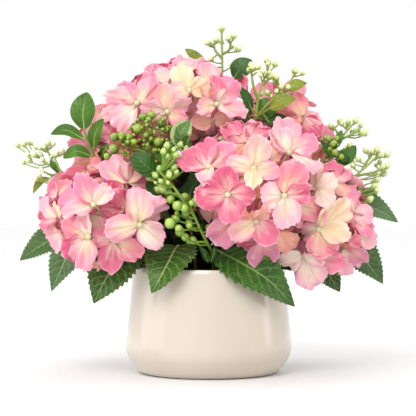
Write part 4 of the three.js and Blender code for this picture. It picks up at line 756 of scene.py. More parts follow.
def spray(i):
    rng = np.random.default_rng(500 + i)
    b = Build()
    sp = SPRAYS[i - 1]
    low, high, bud, tip = [srgb(*c) for c in SPRAY_TONES[i]]
    pts = []
    for k, st in enumerate(sp["stems"]):
        path = [np.array(p, float) for p in st]
        if k == 0:
            path = [np.array([*sp["foot"], 73.0])] + path
        else:
            path[0] = nearest(pts, path[0])
        line, _ = curve(path, 60)
        tube(b, path, (1.7 if i in (7, 8) else 1.5) if k == 0 else 1.25, 0.95 if k == 0 else 0.8, sides=7, n=30 if k == 0 else 14, slot=1, tint_in=low if k == 0 else (low + high) / 2, tint_out=high)
        for z in (0.35, 0.6, 0.8):
            p = line[int(z * 59)]
            bead(b, p, unit(line[min(59, int(z * 59) + 1)] - line[int(z * 59) - 1]), 1.5 if k == 0 else 1.15, stretch=1.3, segs=8, rows=5, slot=1, tint_in=(low + high) / 2, tint_out=high)
        pts.extend(line)
    pts = np.array(pts)
    centre = np.mean(pts[-60:], axis=0)
    buds = [tuple(q) for q in sp["berries"]]
    for x, y, z, r in sp["berries"]:  # the smaller buds beside each one
        for _ in range({7: 1 if z < 150 else 2, 3: 3, 4: 1, 5: 1}.get(i, 1)):
            o = unit(rng.normal(0, 1, 3)) * [1, 0.8, 0.8] * r * rng.uniform(2.0, 2.9)
            o[2] = -abs(o[2]) * 0.8
            q = np.array([x, y, z]) + o
            rr = r * rng.uniform(0.62, 0.9)
            if all(np.linalg.norm(q - np.array(w[:3])) > 0.95 * (rr + w[3]) for w in buds):
                buds.append((*q, rr))
    for x, y, z, r in buds:
        p = np.array([x, y, z])
        root = nearest(pts, p, lower=3.0)
        axis = unit(p - root)
        away = unit(np.array([axis[0], axis[1], axis[2] + 0.6]))
        mid = (root + p) / 2 + np.array([0, 0, -0.12 * np.linalg.norm(p - root)]) + rng.normal(0, 0.3, 3)
        tube(b, [root, mid, p - away * r * 0.8], 0.74, 0.56, sides=5, n=5, slot=1, tint_in=(low + high) / 2, tint_out=high)
        big = r * BUD_SIZE[i] * (1.22 if i == 7 and z < 150 else 1)
        tone = rng.uniform(0.9, 1.08)
        if i == 8 or (i == 7 and z < 150):
            skin = (srgb(98, 138, 32), srgb(168, 196, 88)) if i == 7 else (bud, tip)
            bead(b, p, away, big, stretch=1.0, segs=12, rows=7, nub=0.10, slot=2, tint_in=np.clip(skin[0] * tone, 0, 1), tint_out=np.clip(skin[1] * tone, 0, 1))
            bead(b, p + away * big * 0.98, away, big * 0.22, stretch=1.2, segs=6, rows=4, slot=1, tint_in=low, tint_out=high)
        else:
            # a bud in its cup: the closed bud, then five pointed tips round its top
            bead(b, p, away, big * 0.92, stretch=1.15, segs=10, rows=7, ribs=0.05, base_pull=0.25, slot=2, tint_in=np.clip(bud * tone, 0, 1), tint_out=np.clip(tip * tone, 0, 1))
            ref = unit(np.cross(away, [0.2, 0.9, 0.3]))
            for k in range(5):
                t = rotate(ref, away, k * 2 * math.pi / 5 + rng.uniform(0, 0.3))
                bead(b, p + away * big * 0.93 + t * big * 0.28, unit(away + t * 0.35), big * 0.22, stretch=1.5, segs=5, rows=3, slot=2, tint_in=np.clip(tip * tone, 0, 1), tint_out=np.clip(tip * 1.06, 0, 1))
            bead(b, p - away * big * 0.95, away, big * 0.42, stretch=1.0, segs=8, rows=5, slot=1, tint_in=high, tint_out=bud)
    if i == 8:  # thin twigs with tiny buds between the berries
        for _ in range(90):
            root = pts[int(rng.integers(int(len(pts) * 0.28), len(pts)))]
            q = root + unit(rng.normal(0, 1, 3) * [1, 0.5, 1] + [0, 0, 0.3]) * rng.uniform(5, 12)
            q[1] = min(q[1], root[1] + 3)
            tube(b, [root, (root + q) / 2 - [0, 0, 0.6], q], 0.55, 0.42, sides=5, n=4, slot=1, tint_in=srgb(122, 66, 34), tint_out=srgb(126, 128, 48))
            bead(b, q, unit(q - root), rng.uniform(0.9, 1.7), stretch=1.1, segs=9, rows=7, slot=2, tint_in=bud, tint_out=tip)
    for px, py, y, r in GREEN_BERRIES.get(i, []):
        p = np.asarray(at(px, py, y), float)
        root = nearest(pts, p, lower=3.0)
        away = unit(p - root)
        tube(b, [root, (root + p) / 2 - [0, 0, 0.8], p - away * r * 0.8], 0.7, 0.55, sides=6, n=8, slot=1, tint_in=low, tint_out=high)
        bead(b, p, away, r, segs=12, rows=7, nub=0.10, slot=2, tint_in=srgb(84, 120, 24), tint_out=srgb(146, 172, 62))
    leaves = [(*row, LEAF_KIND.get((i, k), "mid")) for k, row in enumerate(sp["leaves"])]
    leaves += [(at(*q0, y), at(*q1, y - 2), at(*q2, y - 1), half, kind) for q0, q1, q2, y, half, kind in MORE_LEAVES.get(i, [])]
    for n, (p0, p1, p2, half, kind) in enumerate(leaves):
        if i == 7 and n < 2:  # narrow leaves low on the stem
            half = half * 0.62
        rib = [np.array(q, float) for q in (p0, p1, p2)]
        root = nearest(pts, rib[0])
        blade, veins = SMALL_LEAF[kind]
        tube(b, [root, (root + rib[0]) / 2 + [0, 0, 0.4], rib[0] + 0.06 * (rib[1] - rib[0])], 0.75, 0.65, sides=7, n=8, slot=1, tint_in=high, tint_out=srgb(*veins))
        leaf(b, rib, half, (0, -0.9, 0.45), nu=20, nv=8, teeth=0, fold=rng.uniform(0.1, 0.28), thick=0.4, vein=0.12, nveins=5, power=0.80, skew=0.82, wave=0.35, rng=rng, slot=4 if kind == "cream" else 3, tint_in=srgb(*blade), tint_out=srgb(*veins))
        tube(b, [q - [0, -0.15, 0.15] for q in (rib[0], rib[1] * 0.98 + rib[0] * 0.02, rib[1] * 0.3 + rib[2] * 0.7)], 0.5, 0.2, sides=6, n=12, slot=1, tint_in=srgb(*veins), tint_out=srgb(*veins))
    return b


INNER = {1: (0.16, 0.34, 0.52, 0.72), 2: (0.10, 0.2, 0.3, 0.4, 0.5, 0.6, 0.7, 0.8, 0.9), 3: (0.14, 0.3), 4: (0.15, 0.35, 0.6), 5: (0.12, 0.22, 0.32, 0.45, 0.6),
         6: (0.12, 0.25, 0.4, 0.55), 7: (0.14, 0.28, 0.42, 0.6), 8: (0.14, 0.28, 0.42, 0.6)}


def foliage(b, h, rng):
    """Small leaves low on a stem, under the head, coloured near black: painted shade for the dark gap under the heads.
    """
    line, tan = curve(stem_path(h), 100)
    for rib in EXTRA.get(h, []):
        rib = [np.array(q, float) for q in rib]
        p = nearest(line, rib[0])
        # very dark green blade: painted shade under the head.
        leaf(b, rib, 12, (0, -0.8, 0.5), nu=26, nv=9, teeth=12, rng=rng, slot=1, wave=0.6, tint_in=srgb(26, 54, 14), tint_out=srgb(82, 108, 44))
        tube(b, [p, (p + rib[0]) / 2 + [0, 0, 1], rib[0] + 0.1 * (rib[1] - rib[0])], 0.9, 0.8, sides=6, n=6, tint_in=STEM_TONE[1], tint_out=STEM_TONE[1])
    for n, share in enumerate(INNER[h]):
        for turn in (0, 1):
            k = int(share * 99)
            p = line[k]
            a = n * 2.4 + turn * math.pi + rng.uniform(-0.4, 0.4)
            out = unit(np.array([math.cos(a), 0.75 * math.sin(a), rng.uniform(0.0, 0.6)]) + 0.25 * unit(p * [1, 1, 0]))
            size = rng.uniform(24, 34) if share > 0.2 else rng.uniform(16, 24)
            rib = [p + out * 2.5, p + out * size * 0.55 + [0, 0, 1.5], p + out * size - [0, 0, 6]]
            if any(q[2] < 77 for q in rib) or (math.hypot(*rib[2][:2]) > 54 and rib[2][2] < 92):
                rib = [np.array([q[0] * 0.8, q[1] * 0.8, max(q[2], 79) + 3]) for q in rib]
            if in_front(rib[1]) or in_front(rib[2]):
                continue
            face = unit(np.array([0, -0.7, 0.5]) + 0.35 * rng.normal(0, 1, 3))
            tone = rng.uniform(0.6, 1.1)
            # near-black tint: painted shade for the gap under the heads.
            leaf(b, rib, size * rng.uniform(0.27, 0.36), face, nu=16, nv=7, teeth=9, rng=rng, slot=1, wave=0.6, tint_in=np.clip(srgb(16, 32, 6) * tone, 0, 1), tint_out=srgb(46, 64, 18))
            tube(b, [p, rib[0] + 0.1 * (rib[1] - rib[0])], 0.8, 0.7, sides=6, n=4, tint_in=STEM_TONE[1], tint_out=STEM_TONE[1])


EXTRA = {1: [[(-34, -24, 106), (-50, -32, 101), (-66, -36, 88)], [(-40, -16, 108), (-62, -20, 104), (-84, -22, 92)]],
         3: [[(14, -26, 104), (30, -34, 100), (48, -36, 90)]], 4: [[(40, -8, 104), (58, -14, 98), (76, -16, 86)]]}


def in_front(p):
    """True where a small inner leaf would come out through a flower head."""
    return inside_head(p, 0, 1.02) and p[1] < 0 or p[1] < -58


MORE_LEAVES = {
    7: [((190, 192), (196, 182), (203, 172), -34, 7, "dark"), ((186, 200), (191, 190), (194, 178), -30, 7, "dark")],
    8: [((141, 153), (151, 147), (162, 141), -34, 7, "dark"), ((150, 156), (156, 148), (160, 139), -38, 6, "dark"), ((168, 176), (160, 170), (151, 168), -55, 4, "mid"), ((182, 166), (190, 160), (199, 158), -56, 4, "dark"), ((176, 158), (171, 150), (168, 141), -56, 4, "mid"),
        ((158, 168), (150, 163), (142, 163), -55, 3.6, "mid"), ((182, 152), (187, 145), (188, 137), -56, 3.6, "mid"), ((168, 162), (160, 156), (156, 147), -55, 4, "mid")],
    3: [((262, 118), (270, 112), (277, 104), -12, 4.5, "mid"), ((262, 120), (274, 118), (286, 117), -14, 4.5, "dark"), ((252, 120), (246, 112), (240, 106), -14, 4.5, "mid"),
        ((268, 122), (282, 124), (294, 120), -18, 4, "dark"), ((250, 126), (241, 124), (232, 120), -16, 4.5, "dark"), ((258, 112), (262, 104), (268, 98), -16, 4, "mid")],
    4: [((331, 150), (338, 140), (342, 130), 4, 4, "mid"), ((333, 158), (326, 148), (322, 140), 0, 3.5, "dark"), ((338, 160), (344, 158), (350, 160), 0, 4, "dark")],
    5: [((362, 190), (370, 192), (376, 197), 0, 3.5, "mid")],
    1: [((60, 172), (54, 166), (50, 160), 2, 3, "mid"), ((66, 180), (58, 184), (52, 186), 2, 3, "dark")],
}

LEAF_KIND = {(7, 0): "dark", (7, 1): "dark", (8, 0): "dark", (8, 1): "cream", (8, 2): "dark", (1, 0): "olive", (2, 0): "olive", (2, 1): "dark", (3, 0): "olive", (3, 1): "olive", (3, 2): "dark"}


def sprig():
    rng = np.random.default_rng(700)
    b = Build()
    path = [np.array([*SPRIG["foot"], 73.0])] + [np.array(p, float) for p in SPRIG["stem"]]
    line, _ = curve(path, 160)
    tube(b, path, 1.5, 0.8, sides=9, n=50, slot=1, tint_in=srgb(84, 112, 44), tint_out=srgb(104, 140, 62))
    for k, (p0, p1, p2, half) in enumerate(SPRIG["leaves"]):
        rib = [np.array(q, float) for q in (p0, p1, p2)]
        rib[0] = rib[0] + (0.10 if k == 0 else 0.22) * (rib[1] - rib[0])
        if k:
            rib[2] = rib[2] + 0.10 * (rib[1] - rib[2])
        half = half * (1 if k == 0 else 0.86)
        root = nearest(line, np.array(p0, float))
        tube(b, [root, (root + rib[0]) / 2 + [0, 0, 0.3], rib[0] + 0.05 * (rib[1] - rib[0])], 0.85, 0.7, sides=7, n=8, slot=1, tint_in=srgb(104, 140, 62), tint_out=srgb(140, 168, 84))
        leaf(b, rib, half, (0, -0.9, 0.4), nu=32, nv=11, teeth=0, fold=rng.uniform(0.14, 0.3), thick=0.45, vein=0.14, nveins=5, power=0.78, skew=0.86, wave=0.4, rng=rng, slot=0,
             tint_in=srgb(78, 128, 28), tint_out=srgb(156, 190, 84), twist=rng.uniform(-0.3, 0.3))
        tube(b, [rib[0] - [0, -0.1, 0.2], rib[1] * 0.98 + rib[0] * 0.02 - [0, -0.1, 0.2], rib[1] * 0.3 + rib[2] * 0.7 - [0, -0.1, 0.2]], 0.6, 0.22, sides=6, n=14, slot=1, tint_in=srgb(150, 182, 98), tint_out=srgb(150, 182, 98))
    return b


# ------------------------------------------------------------------ the pot and its fill
POT = [(0, 0), (30, 0), (52.6, 0), (56, 0.5), (58.4, 1.6), (61.7, 4.6), (64.4, 8), (66.8, 11.8), (68.6, 15.2), (69.6, 18.6), (70, 23), (69.8, 28), (69.15, 36), (68.1, 46), (66.8, 57),
       (65.7, 68), (64.7, 78), (64.2, 85), (63.9, 87.4), (63.1, 88.6), (62.2, 88.8), (61.3, 88.4), (60.8, 87.4), (61.2, 79), (63.4, 57), (66.2, 25.5), (62.6, 13.6), (50, 6), (25, 6), (0, 6)]


def lathe(b, profile, segs, rows, slot=0, **values):
    """A turned body from its profile (radius, height), first and last points on the axis."""
    pts = np.array([(p[0], 0, p[1]) for p in profile[1:-1]], float)
    line, _ = curve(pts, rows)
    line[:, 2] = np.maximum(line[:, 2], 0)
    ang = np.arange(segs) * 2 * math.pi / segs
    ring = np.stack([line[:, None, 0] * np.cos(ang), line[:, None, 0] * np.sin(ang), np.repeat(line[:, 2:3], segs, axis=1)], axis=2).reshape(-1, 3)
    v = np.vstack([ring, [[0, 0, profile[0][1]]], [[0, 0, profile[-1][1]]]])
    quads, tris = [], []
    i, j = np.meshgrid(np.arange(rows - 1), np.arange(segs), indexing="ij")
    j2 = (j + 1) % segs
    quads = np.stack([i * segs + j, i * segs + j2, (i + 1) * segs + j2, (i + 1) * segs + j], axis=2).reshape(-1, 4)
    m = rows * segs
    s = np.arange(segs)
    s2 = (s + 1) % segs
    tris = np.vstack([np.stack([np.full(segs, m), s2, s], axis=1), np.stack([np.full(segs, m + 1), (rows - 1) * segs + s, (rows - 1) * segs + s2], axis=1)])
    along = np.r_[np.repeat(np.linspace(0, 1, rows), segs), 0, 1]
    b.add(v, quads, tris, slot=slot, along=along, **values)


def soil():
    rng = np.random.default_rng(900)
    b = Build()
    # a mound of crumbs over a flat-bottomed fill
    nr, nt = 26, 96
    rad = np.linspace(0.0, 1.0, nr) ** 0.8
    ang = np.arange(nt) * 2 * math.pi / nt
    x = rad[1:, None] * 60.6 * np.cos(ang)
    y = rad[1:, None] * 60.6 * np.sin(ang)
    z = 72.6 + 0.9 * np.sin(x * 0.21 + 1.1) * np.cos(y * 0.17 + 0.4) + rng.normal(0, 0.55, x.shape)
    z = z - 1.2 * smooth(0.86, 1, rad[1:, None])
    top = np.stack([x, y, z], axis=2).reshape(-1, 3)
    m = nr - 1
    low = np.stack([60.6 * np.cos(ang), 60.6 * np.sin(ang), np.full(nt, 62.0)], axis=1)
    v = np.vstack([top, low, [[0, 0, 72.8]], [[0, 0, 62.0]]])
    i, j = np.meshgrid(np.arange(m - 1), np.arange(nt), indexing="ij")
    j2 = (j + 1) % nt
    quads = np.stack([i * nt + j, (i + 1) * nt + j, (i + 1) * nt + j2, i * nt + j2], axis=2).reshape(-1, 4)
    s = np.arange(nt)
    s2 = (s + 1) % nt
    rim = np.stack([(m - 1) * nt + s, m * nt + s, m * nt + s2, (m - 1) * nt + s2], axis=1)
    c = (m + 1) * nt
    tris = np.vstack([np.stack([np.full(nt, c), s, s2], axis=1), np.stack([np.full(nt, c + 1), m * nt + s2, m * nt + s], axis=1)])
    b.add(v, np.vstack([quads, rim]), tris, tint_in=srgb(64, 46, 32), tint_out=srgb(92, 70, 48))
    for k in range(260):  # crumbs and bark chips
        a, q = rng.uniform(0, 6.28), 59 * math.sqrt(rng.uniform(0, 1))
        r = rng.uniform(0.6, 1.9)
        tone = rng.uniform(0.5, 1.5)
        bead(b, np.array([q * math.cos(a), q * math.sin(a), 73.0 + rng.uniform(-0.3, 0.8)]), rng.normal(0, 1, 3), r, stretch=rng.uniform(0.5, 1.7), segs=6, rows=4,
             tint_in=np.clip(srgb(70, 50, 34) * tone, 0, 1), tint_out=np.clip(srgb(110, 80, 52) * tone, 0, 1), seed=rng.uniform(0, 1))
    return b


# ------------------------------------------------------------------ materials
def material(name):
    m = bpy.data.materials.new(name)
    m.use_nodes = True
    nt = m.node_tree
    for n in list(nt.nodes):
        nt.nodes.remove(n)
    return m, nt


class Nodes:
    """Short ways to add shader nodes."""

    def __init__(self, nt):
        self.nt = nt

    def new(self, kind, **inputs):
        n = self.nt.nodes.new(kind)
        for k, v in inputs.items():
            self.set(n.inputs[k.replace("_", " ")] if k.replace("_", " ") in n.inputs else n.inputs[k], v)
        return n

    def set(self, socket, v):
        if hasattr(v, "is_output") and v.is_output:
            self.nt.links.new(v, socket)
        elif isinstance(v, (tuple, list, np.ndarray)):
            v = [float(x) for x in v]
            if socket.type == "RGBA" and len(v) == 3:
                v = v + [1.0]
            socket.default_value = v
        else:
            socket.default_value = v

    def attr(self, name, out="Fac"):
        n = self.nt.nodes.new("ShaderNodeAttribute")
        n.attribute_type = "GEOMETRY"
        n.attribute_name = name
        return n.outputs[out]

    def math(self, op, a, b=None, clamp=False):
        n = self.nt.nodes.new("ShaderNodeMath")
        n.operation = op
        n.use_clamp = clamp
        self.set(n.inputs[0], a)
        if b is not None:
            self.set(n.inputs[1], b)
        return n.outputs[0]

    def ramp(self, x, lo, hi, to_lo=0.0, to_hi=1.0):
        n = self.nt.nodes.new("ShaderNodeMapRange")
        n.interpolation_type = "SMOOTHSTEP"
        for k, v in zip(("Value", "From Min", "From Max", "To Min", "To Max"), (x, lo, hi, to_lo, to_hi)):
            self.set(n.inputs[k], v)
        return n.outputs[0]

    def mix(self, f, a, b, mode="MIX"):
        n = self.nt.nodes.new("ShaderNodeMix")
        n.data_type = "RGBA"
        n.blend_type = mode
        self.set(n.inputs[0], f)
        self.set(n.inputs[6], a)
        self.set(n.inputs[7], b)
        return n.outputs[2]

    def vec(self, x, y, z):
        n = self.nt.nodes.new("ShaderNodeCombineXYZ")
        for k, v in enumerate((x, y, z)):
            self.set(n.inputs[k], v)
        return n.outputs[0]

    def coords(self, out="Object"):
        return self.nt.nodes.new("ShaderNodeTexCoord").outputs[out]

    def noise(self, vec, scale, detail=3.0, rough=0.5, out="Fac", distort=0.0):
        n = self.nt.nodes.new("ShaderNodeTexNoise")
        self.set(n.inputs["Vector"], vec)
        n.inputs["Scale"].default_value = scale
        n.inputs["Detail"].default_value = detail
        n.inputs["Roughness"].default_value = rough
        n.inputs["Distortion"].default_value = distort
        return n.outputs[out]

    def bump(self, height, strength, distance):
        n = self.nt.nodes.new("ShaderNodeBump")
        n.inputs["Strength"].default_value = strength
        n.inputs["Distance"].default_value = distance
        self.set(n.inputs["Height"], height)
        return n.outputs[0]

    def surface(self, shader):
        o = self.nt.nodes.new("ShaderNodeOutputMaterial")
        self.nt.links.new(shader, o.inputs["Surface"])


def petal_material():
    m, nt = material("petal")
    N = Nodes(nt)
    rho, th, seed, fade = N.attr("along"), N.attr("across"), N.attr("seed"), N.attr("fade")
    tin, tout = N.attr("tint_in", "Vector"), N.attr("tint_out", "Vector")
    pos = N.coords()
    blot = N.noise(pos, 70, 3, 0.55)
    s50 = N.math("MULTIPLY", seed, 57.0)
    fine = N.noise(N.vec(N.math("MULTIPLY", th, 9.0), N.math("MULTIPLY", rho, 1.6), s50), 1.0, 3, 0.55)
    wide = N.noise(N.vec(N.math("MULTIPLY", th, 2.6), N.math("MULTIPLY", rho, 1.7), s50), 1.0, 2, 0.5)
    # throat to edge, with an uneven front
    x = N.math("ADD", rho, N.math("MULTIPLY", N.math("SUBTRACT", fine, 0.5), 0.42))
    x = N.math("ADD", x, N.math("MULTIPLY", N.math("SUBTRACT", wide, 0.5), 0.75))
    x = N.math("SUBTRACT", x, fade)
    f = N.ramp(x, -0.27, 0.36)
    col = N.mix(f, tin, tout)
    # darker brushed streaks half way out
    band = N.math("MULTIPLY", N.ramp(rho, 0.14, 0.42), N.ramp(rho, 0.62, 0.95, 1.0, 0.0))
    streak = N.ramp(N.noise(N.vec(N.math("MULTIPLY", th, 15.0), N.math("MULTIPLY", rho, 1.3), N.math("MULTIPLY", seed, 31.0)), 1.0, 2, 0.5), 0.52, 0.72)
    col = N.mix(N.math("MULTIPLY", N.math("MULTIPLY", band, streak), 0.44), col, N.mix(1.0, tout, (0.98, 0.60, 0.66), "MULTIPLY"))
    # pale patches and rim
    pale = N.ramp(N.noise(N.vec(N.math("MULTIPLY", th, 2.2), N.math("MULTIPLY", rho, 2.4), N.math("MULTIPLY", seed, 83.0)), 1.0, 2, 0.5), 0.54, 0.76)
    col = N.mix(N.math("MULTIPLY", pale, 0.55), col, (0.98, 0.84, 0.77))
    rim = N.ramp(rho, 0.93, 1.0)
    warm = N.ramp(N.noise(N.vec(N.math("MULTIPLY", th, 1.4), N.math("MULTIPLY", seed, 47.0), 0.0), 1.0, 1, 0.5), 0.50, 0.60)
    col = N.mix(N.math("MULTIPLY", rim, 0.60), col, N.mix(warm, (1.0, 0.84, 0.88), (0.90, 0.34, 0.55)))
    col = N.mix(N.math("MULTIPLY", N.ramp(blot, 0.45, 0.7), 0.22), col, N.mix(1.0, col, (0.97, 0.76, 0.79), "MULTIPLY"))
    # relief: radial veins, fine weave
    vein = N.noise(N.vec(N.math("MULTIPLY", th, 22.0), N.math("MULTIPLY", rho, 2.2), s50), 1.0, 3, 0.6)
    weave = N.noise(pos, 900, 2, 0.5)
    h = N.math("ADD", vein, N.math("MULTIPLY", weave, 0.35))
    nrm = N.bump(h, 0.65, 0.0007)
    p = N.new("ShaderNodeBsdfPrincipled", Base_Color=col, Roughness=0.62, Normal=nrm)
    p.inputs["Specular IOR Level"].default_value = 0.28
    p.inputs["Sheen Weight"].default_value = 0.12
    p.inputs["Sheen Roughness"].default_value = 0.5
    tr = N.new("ShaderNodeBsdfTranslucent", Color=N.mix(0.15, col, (1.0, 0.92, 0.84)), Normal=nrm)
    ms = N.new("ShaderNodeMixShader")
    ms.inputs[0].default_value = 0.36
    nt.links.new(p.outputs[0], ms.inputs[1])
    nt.links.new(tr.outputs[0], ms.inputs[2])
    N.surface(ms.outputs[0])
    return m


def green_material(name, rough=0.42, spec=0.45, speck=0.12, coat=0.0, scale=500):
    """Stems, twigs, centres, buds and berries: tint_in at the low end, tint_out at the far end."""
    m, nt = material(name)
    N = Nodes(nt)
    along = N.attr("along")
    pos = N.coords()
    n1 = N.noise(pos, scale, 3, 0.55)
    n2 = N.noise(pos, scale * 0.12, 2, 0.5)
    f = N.ramp(N.math("ADD", along, N.math("MULTIPLY", N.math("SUBTRACT", n2, 0.5), 0.4)), 0.1, 0.9)
    col = N.mix(f, N.attr("tint_in", "Vector"), N.attr("tint_out", "Vector"))
    col = N.mix(N.math("MULTIPLY", N.ramp(n1, 0.4, 0.7), speck), col, N.mix(1.0, col, (0.62, 0.70, 0.45), "MULTIPLY"))
    nrm = N.bump(n1, 0.25, 0.0002)
    p = N.new("ShaderNodeBsdfPrincipled", Base_Color=col, Roughness=N.ramp(n2, 0.3, 0.7, rough - 0.06, rough + 0.08), Normal=nrm)
    p.inputs["Specular IOR Level"].default_value = spec
    p.inputs["Coat Weight"].default_value = coat
    p.inputs["Coat Roughness"].default_value = 0.2
    N.surface(p.outputs[0])
    return m


def leaf_material(name, count=8.75, sweep=1.55, net=1.0, gloss=0.28, veined=0.95, pale_edge=0.0):
    m, nt = material(name)
    N = Nodes(nt)
    v, s, seed = N.attr("along"), N.attr("across"), N.attr("seed")
    tin, tout = N.attr("tint_in", "Vector"), N.attr("tint_out", "Vector")
    pos = N.coords()
    a = N.math("ABSOLUTE", s)
    wob = N.noise(pos, 160, 2, 0.5)
    right = N.math("MULTIPLY", N.math("GREATER_THAN", s, 0.0), 0.12)
    ph = N.math("ADD", N.math("SUBTRACT", N.math("MULTIPLY", v, count), N.math("MULTIPLY", a, sweep)), right)
    ph = N.math("ADD", ph, N.math("MULTIPLY", N.math("SUBTRACT", wob, 0.5), 0.16))
    near = N.math("MULTIPLY", N.math("ABSOLUTE", N.math("SUBTRACT", N.math("FRACT", N.math("ADD", ph, 8.0)), 0.5)), 2.0)  # 1 at a vein
    thin = N.math("ADD", 0.84, N.math("MULTIPLY", a, 0.09))
    faint = N.ramp(N.noise(pos, 110, 2, 0.5), 0.35, 0.62)
    line = N.math("MULTIPLY", N.math("MULTIPLY", N.ramp(near, thin, 0.97), N.ramp(a, 0.74, 0.98, 1.0, 0.0)), N.math("ADD", 0.50, N.math("MULTIPLY", faint, 0.50)))
    mid = N.ramp(a, 0.028, 0.055, 1.0, 0.0)
    vein = N.math("MAXIMUM", line, mid)
    # fine net between the veins
    vor = nt.nodes.new("ShaderNodeTexVoronoi")
    vor.feature = "DISTANCE_TO_EDGE"
    N.set(vor.inputs["Vector"], pos)
    vor.inputs["Scale"].default_value = 300
    netf = N.ramp(vor.outputs["Distance"], 0.0, 0.07, 1.0, 0.0)
    netf = N.math("MULTIPLY", netf, N.math("ADD", 0.25, N.math("MULTIPLY", N.ramp(a, 0.15, 0.8), 0.75)))
    big = N.noise(pos, 45, 3, 0.55)
    grain = N.noise(pos, 900, 3, 0.6)
    base = N.mix(N.ramp(big, 0.35, 0.7), tin, N.mix(1.0, tin, (0.46, 0.60, 0.42), "MULTIPLY"))
    base = N.mix(N.math("MULTIPLY", N.ramp(near, 0.45, 0.9), 0.28), base, N.mix(0.45, tin, tout))
    base = N.mix(N.math("MULTIPLY", netf, 0.55 * net), N.mix(1.0, base, (0.98, 1.0, 0.66), "MULTIPLY"), tout)
    base = N.mix(N.math("MULTIPLY", N.ramp(grain, 0.45, 0.75), 0.14), base, N.mix(1.0, base, (0.5, 0.6, 0.5), "MULTIPLY"))
    col = N.mix(N.math("MULTIPLY", vein, veined), base, tout)
    col = N.mix(N.math("MULTIPLY", N.ramp(a, 0.95, 1.0), 0.35), col, tout)
    if pale_edge:
        edge = N.ramp(N.math("ADD", a, N.math("MULTIPLY", N.math("SUBTRACT", wob, 0.5), 0.5)), 0.62, 0.78)
        col = N.mix(N.math("MULTIPLY", edge, pale_edge), col, (0.62, 0.70, 0.30))
    h = N.math("ADD", N.math("MULTIPLY", vein, -1.0), N.math("MULTIPLY", netf, -0.35))
    h = N.math("ADD", h, N.math("MULTIPLY", grain, 0.25))
    nrm = N.bump(h, 0.85, 0.0012)
    p = N.new("ShaderNodeBsdfPrincipled", Base_Color=col, Roughness=N.ramp(big, 0.3, 0.7, gloss - 0.05, gloss + 0.08), Normal=nrm)
    p.inputs["Specular IOR Level"].default_value = 0.42
    tr = N.new("ShaderNodeBsdfTranslucent", Color=N.mix(1.0, col, (0.9, 1.0, 0.45), "MULTIPLY"), Normal=nrm)
    ms = N.new("ShaderNodeMixShader")
    ms.inputs[0].default_value = 0.14
    nt.links.new(p.outputs[0], ms.inputs[1])
    nt.links.new(tr.outputs[0], ms.inputs[2])
    N.surface(ms.outputs[0])
    return m


def glaze_material():
    m, nt = material("glaze")
    N = Nodes(nt)
    pos = N.coords()
    big = N.noise(pos, 16, 3, 0.5)
    fine = N.noise(pos, 240, 3, 0.6)
    col = N.mix(N.ramp(big, 0.35, 0.7), srgb(203, 192, 177), srgb(198, 186, 169))
    col = N.mix(N.math("MULTIPLY", N.ramp(fine, 0.5, 0.75), 0.10), col, srgb(196, 183, 162))
    nrm = N.bump(N.math("ADD", big, N.math("MULTIPLY", fine, 0.05)), 0.25, 0.0012)
    p = N.new("ShaderNodeBsdfPrincipled", Base_Color=col, Roughness=0.24, Normal=nrm)
    p.inputs["Specular IOR Level"].default_value = 0.5
    p.inputs["Coat Weight"].default_value = 0.6
    p.inputs["Coat Roughness"].default_value = 0.10
    N.surface(p.outputs[0])
    return m


def soil_material():
    m, nt = material("soil")
    N = Nodes(nt)
    pos = N.coords()
    a = N.noise(pos, 320, 4, 0.65)
    col = N.mix(N.ramp(a, 0.35, 0.7), N.attr("tint_in", "Vector"), N.attr("tint_out", "Vector"))
    nrm = N.bump(a, 0.9, 0.0012)
    p = N.new("ShaderNodeBsdfPrincipled", Base_Color=col, Roughness=0.92, Normal=nrm)
    p.inputs["Specular IOR Level"].default_value = 0.2
    N.surface(p.outputs[0])
    return m


PETAL = petal_material()
GREEN = green_material("stem_skin")
CENTRE = green_material("floret_centre", rough=0.5, spec=0.3, speck=0.2, scale=700)
BUD = green_material("bud_skin", rough=0.26, spec=0.55, speck=0.16, coat=0.35)
LEAF = leaf_material("hydrangea_leaf_skin")
SMOOTH_LEAF = leaf_material("smooth_leaf_skin", count=6.25, net=0.15, gloss=0.33, veined=0.45)
EDGED_LEAF = leaf_material("edged_leaf_skin", count=6.25, net=0.15, gloss=0.33, veined=0.45, pale_edge=0.6)
GLAZE = glaze_material()
SOIL = soil_material()

# ------------------------------------------------------------------ the pieces
b = Build()
lathe(b, POT, 160, 92)
b.make("pot_glazed", [GLAZE], "pot", "pot_glaze", angle=60)
soil().make("soil_fill", [SOIL], "potting_soil", "soil", angle=0)
for h in HEADS:
    b = Build()
    path = stem_path(h)
    tube(b, path, 2.5, 1.9, sides=16, n=60, tint_in=STEM_TONE[0], tint_out=STEM_TONE[1])
    line, tan = curve(path, 60)
    for k in (18, 40):  # leaf nodes
        bead(b, line[k], tan[k], 3.0, stretch=1.2, segs=14, rows=8, tint_in=STEM_TONE[0], tint_out=STEM_TONE[1])
    foliage(b, h, np.random.default_rng(200 + h))
    b.make(f"stem_{h}", [GREEN, LEAF], f"hydrangea_stem_{h}", "stem_green")
    flower_head(h).make(f"florets_{h}", [PETAL, CENTRE], f"flower_head_{h}", "petal_pink", angle=70)
for i in range(1, 13):
    hydrangea_leaf(i).make(f"toothed_leaf_{i}", [LEAF, GREEN], f"hydrangea_leaf_{i}", "leaf_green", angle=60)
for i in range(1, 11):
    spray(i).make(f"spray_{i}", [GREEN, GREEN, BUD, SMOOTH_LEAF, EDGED_LEAF], f"berry_spray_{i}", "spray_green", angle=60)
sprig().make("smooth_sprig", [SMOOTH_LEAF, GREEN], "leaf_sprig", "leaf_green", angle=60)

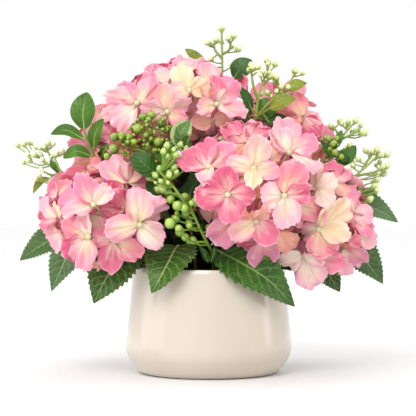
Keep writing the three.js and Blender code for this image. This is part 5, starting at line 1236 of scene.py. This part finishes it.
# ------------------------------------------------------------------ floor, light and camera
m, nt = material("floor")
N = Nodes(nt)
grain = N.noise(N.coords(), 3.0, 2, 0.5)
reach = nt.nodes.new("ShaderNodeVectorMath")
reach.operation = "LENGTH"
N.set(reach.inputs[0], N.coords())
# The floor is paler away from the pot: painted light that keeps the far floor as white as the backdrop.
far = N.ramp(reach.outputs["Value"], 0.22, 0.62)
p = N.new("ShaderNodeBsdfPrincipled", Base_Color=N.mix(far, N.mix(grain, (0.79, 0.785, 0.78), (0.81, 0.805, 0.80)), (0.98, 0.98, 0.98)), Roughness=0.55)
p.inputs["Specular IOR Level"].default_value = 0.15
N.surface(p.outputs[0])
me = bpy.data.meshes.new("floor")
me.from_pydata([(-9, -9, 0), (9, -9, 0), (9, 9, 0), (-9, 9, 0)], [], [(0, 1, 2, 3)])
me.materials.append(m)
floor = bpy.data.objects.new("floor", me)
bpy.context.scene.collection.objects.link(floor)

world = bpy.data.worlds.new("studio")
world.use_nodes = True
world.node_tree.nodes["Background"].inputs[0].default_value = (1.0, 1.0, 1.0, 1)
world.node_tree.nodes["Background"].inputs[1].default_value = 1.0
bpy.context.scene.world = world


def area(name, loc, aim, size, power, colour=(1, 1, 1), size_y=None):
    d = bpy.data.lights.new(name, "AREA")
    d.shape = "RECTANGLE"
    d.size, d.size_y = size, size_y or size
    d.energy = power
    d.color = colour
    o = bpy.data.objects.new(name, d)
    o.location = loc
    o.rotation_euler = (Vector(aim) - Vector(loc)).to_track_quat("-Z", "Y").to_euler()
    bpy.context.scene.collection.objects.link(o)
    return o


area("soft_left", (-1.25, -0.12, 0.55), (0, 0, 0.14), 1.1, 6.0, size_y=1.4)
area("strip_right", (1.25, -0.05, 0.5), (0, 0, 0.14), 0.32, 2.2, size_y=1.3)
area("key", (-0.4, -1.25, 1.15), (0, 0, 0.18), 0.9, 14.6)
area("top", (0.1, 0.2, 1.4), (0, 0, 0.15), 0.9, 2.5)

cam_data = bpy.data.cameras.new("camera")
cam_data.sensor_width = 36
cam_data.lens = 36 * VIEW_DIST / (416 * VIEW_SCALE)
cam_data.clip_start, cam_data.clip_end = 0.05, 60
cam = bpy.data.objects.new("camera", cam_data)
cam.location = (VIEW_X * MM, -VIEW_DIST * MM, VIEW_Z * MM)
cam.rotation_euler = (math.pi / 2, 0, 0)
bpy.context.scene.collection.objects.link(cam)
bpy.context.scene.camera = cam
bpy.context.scene.view_settings.view_transform = "Standard"
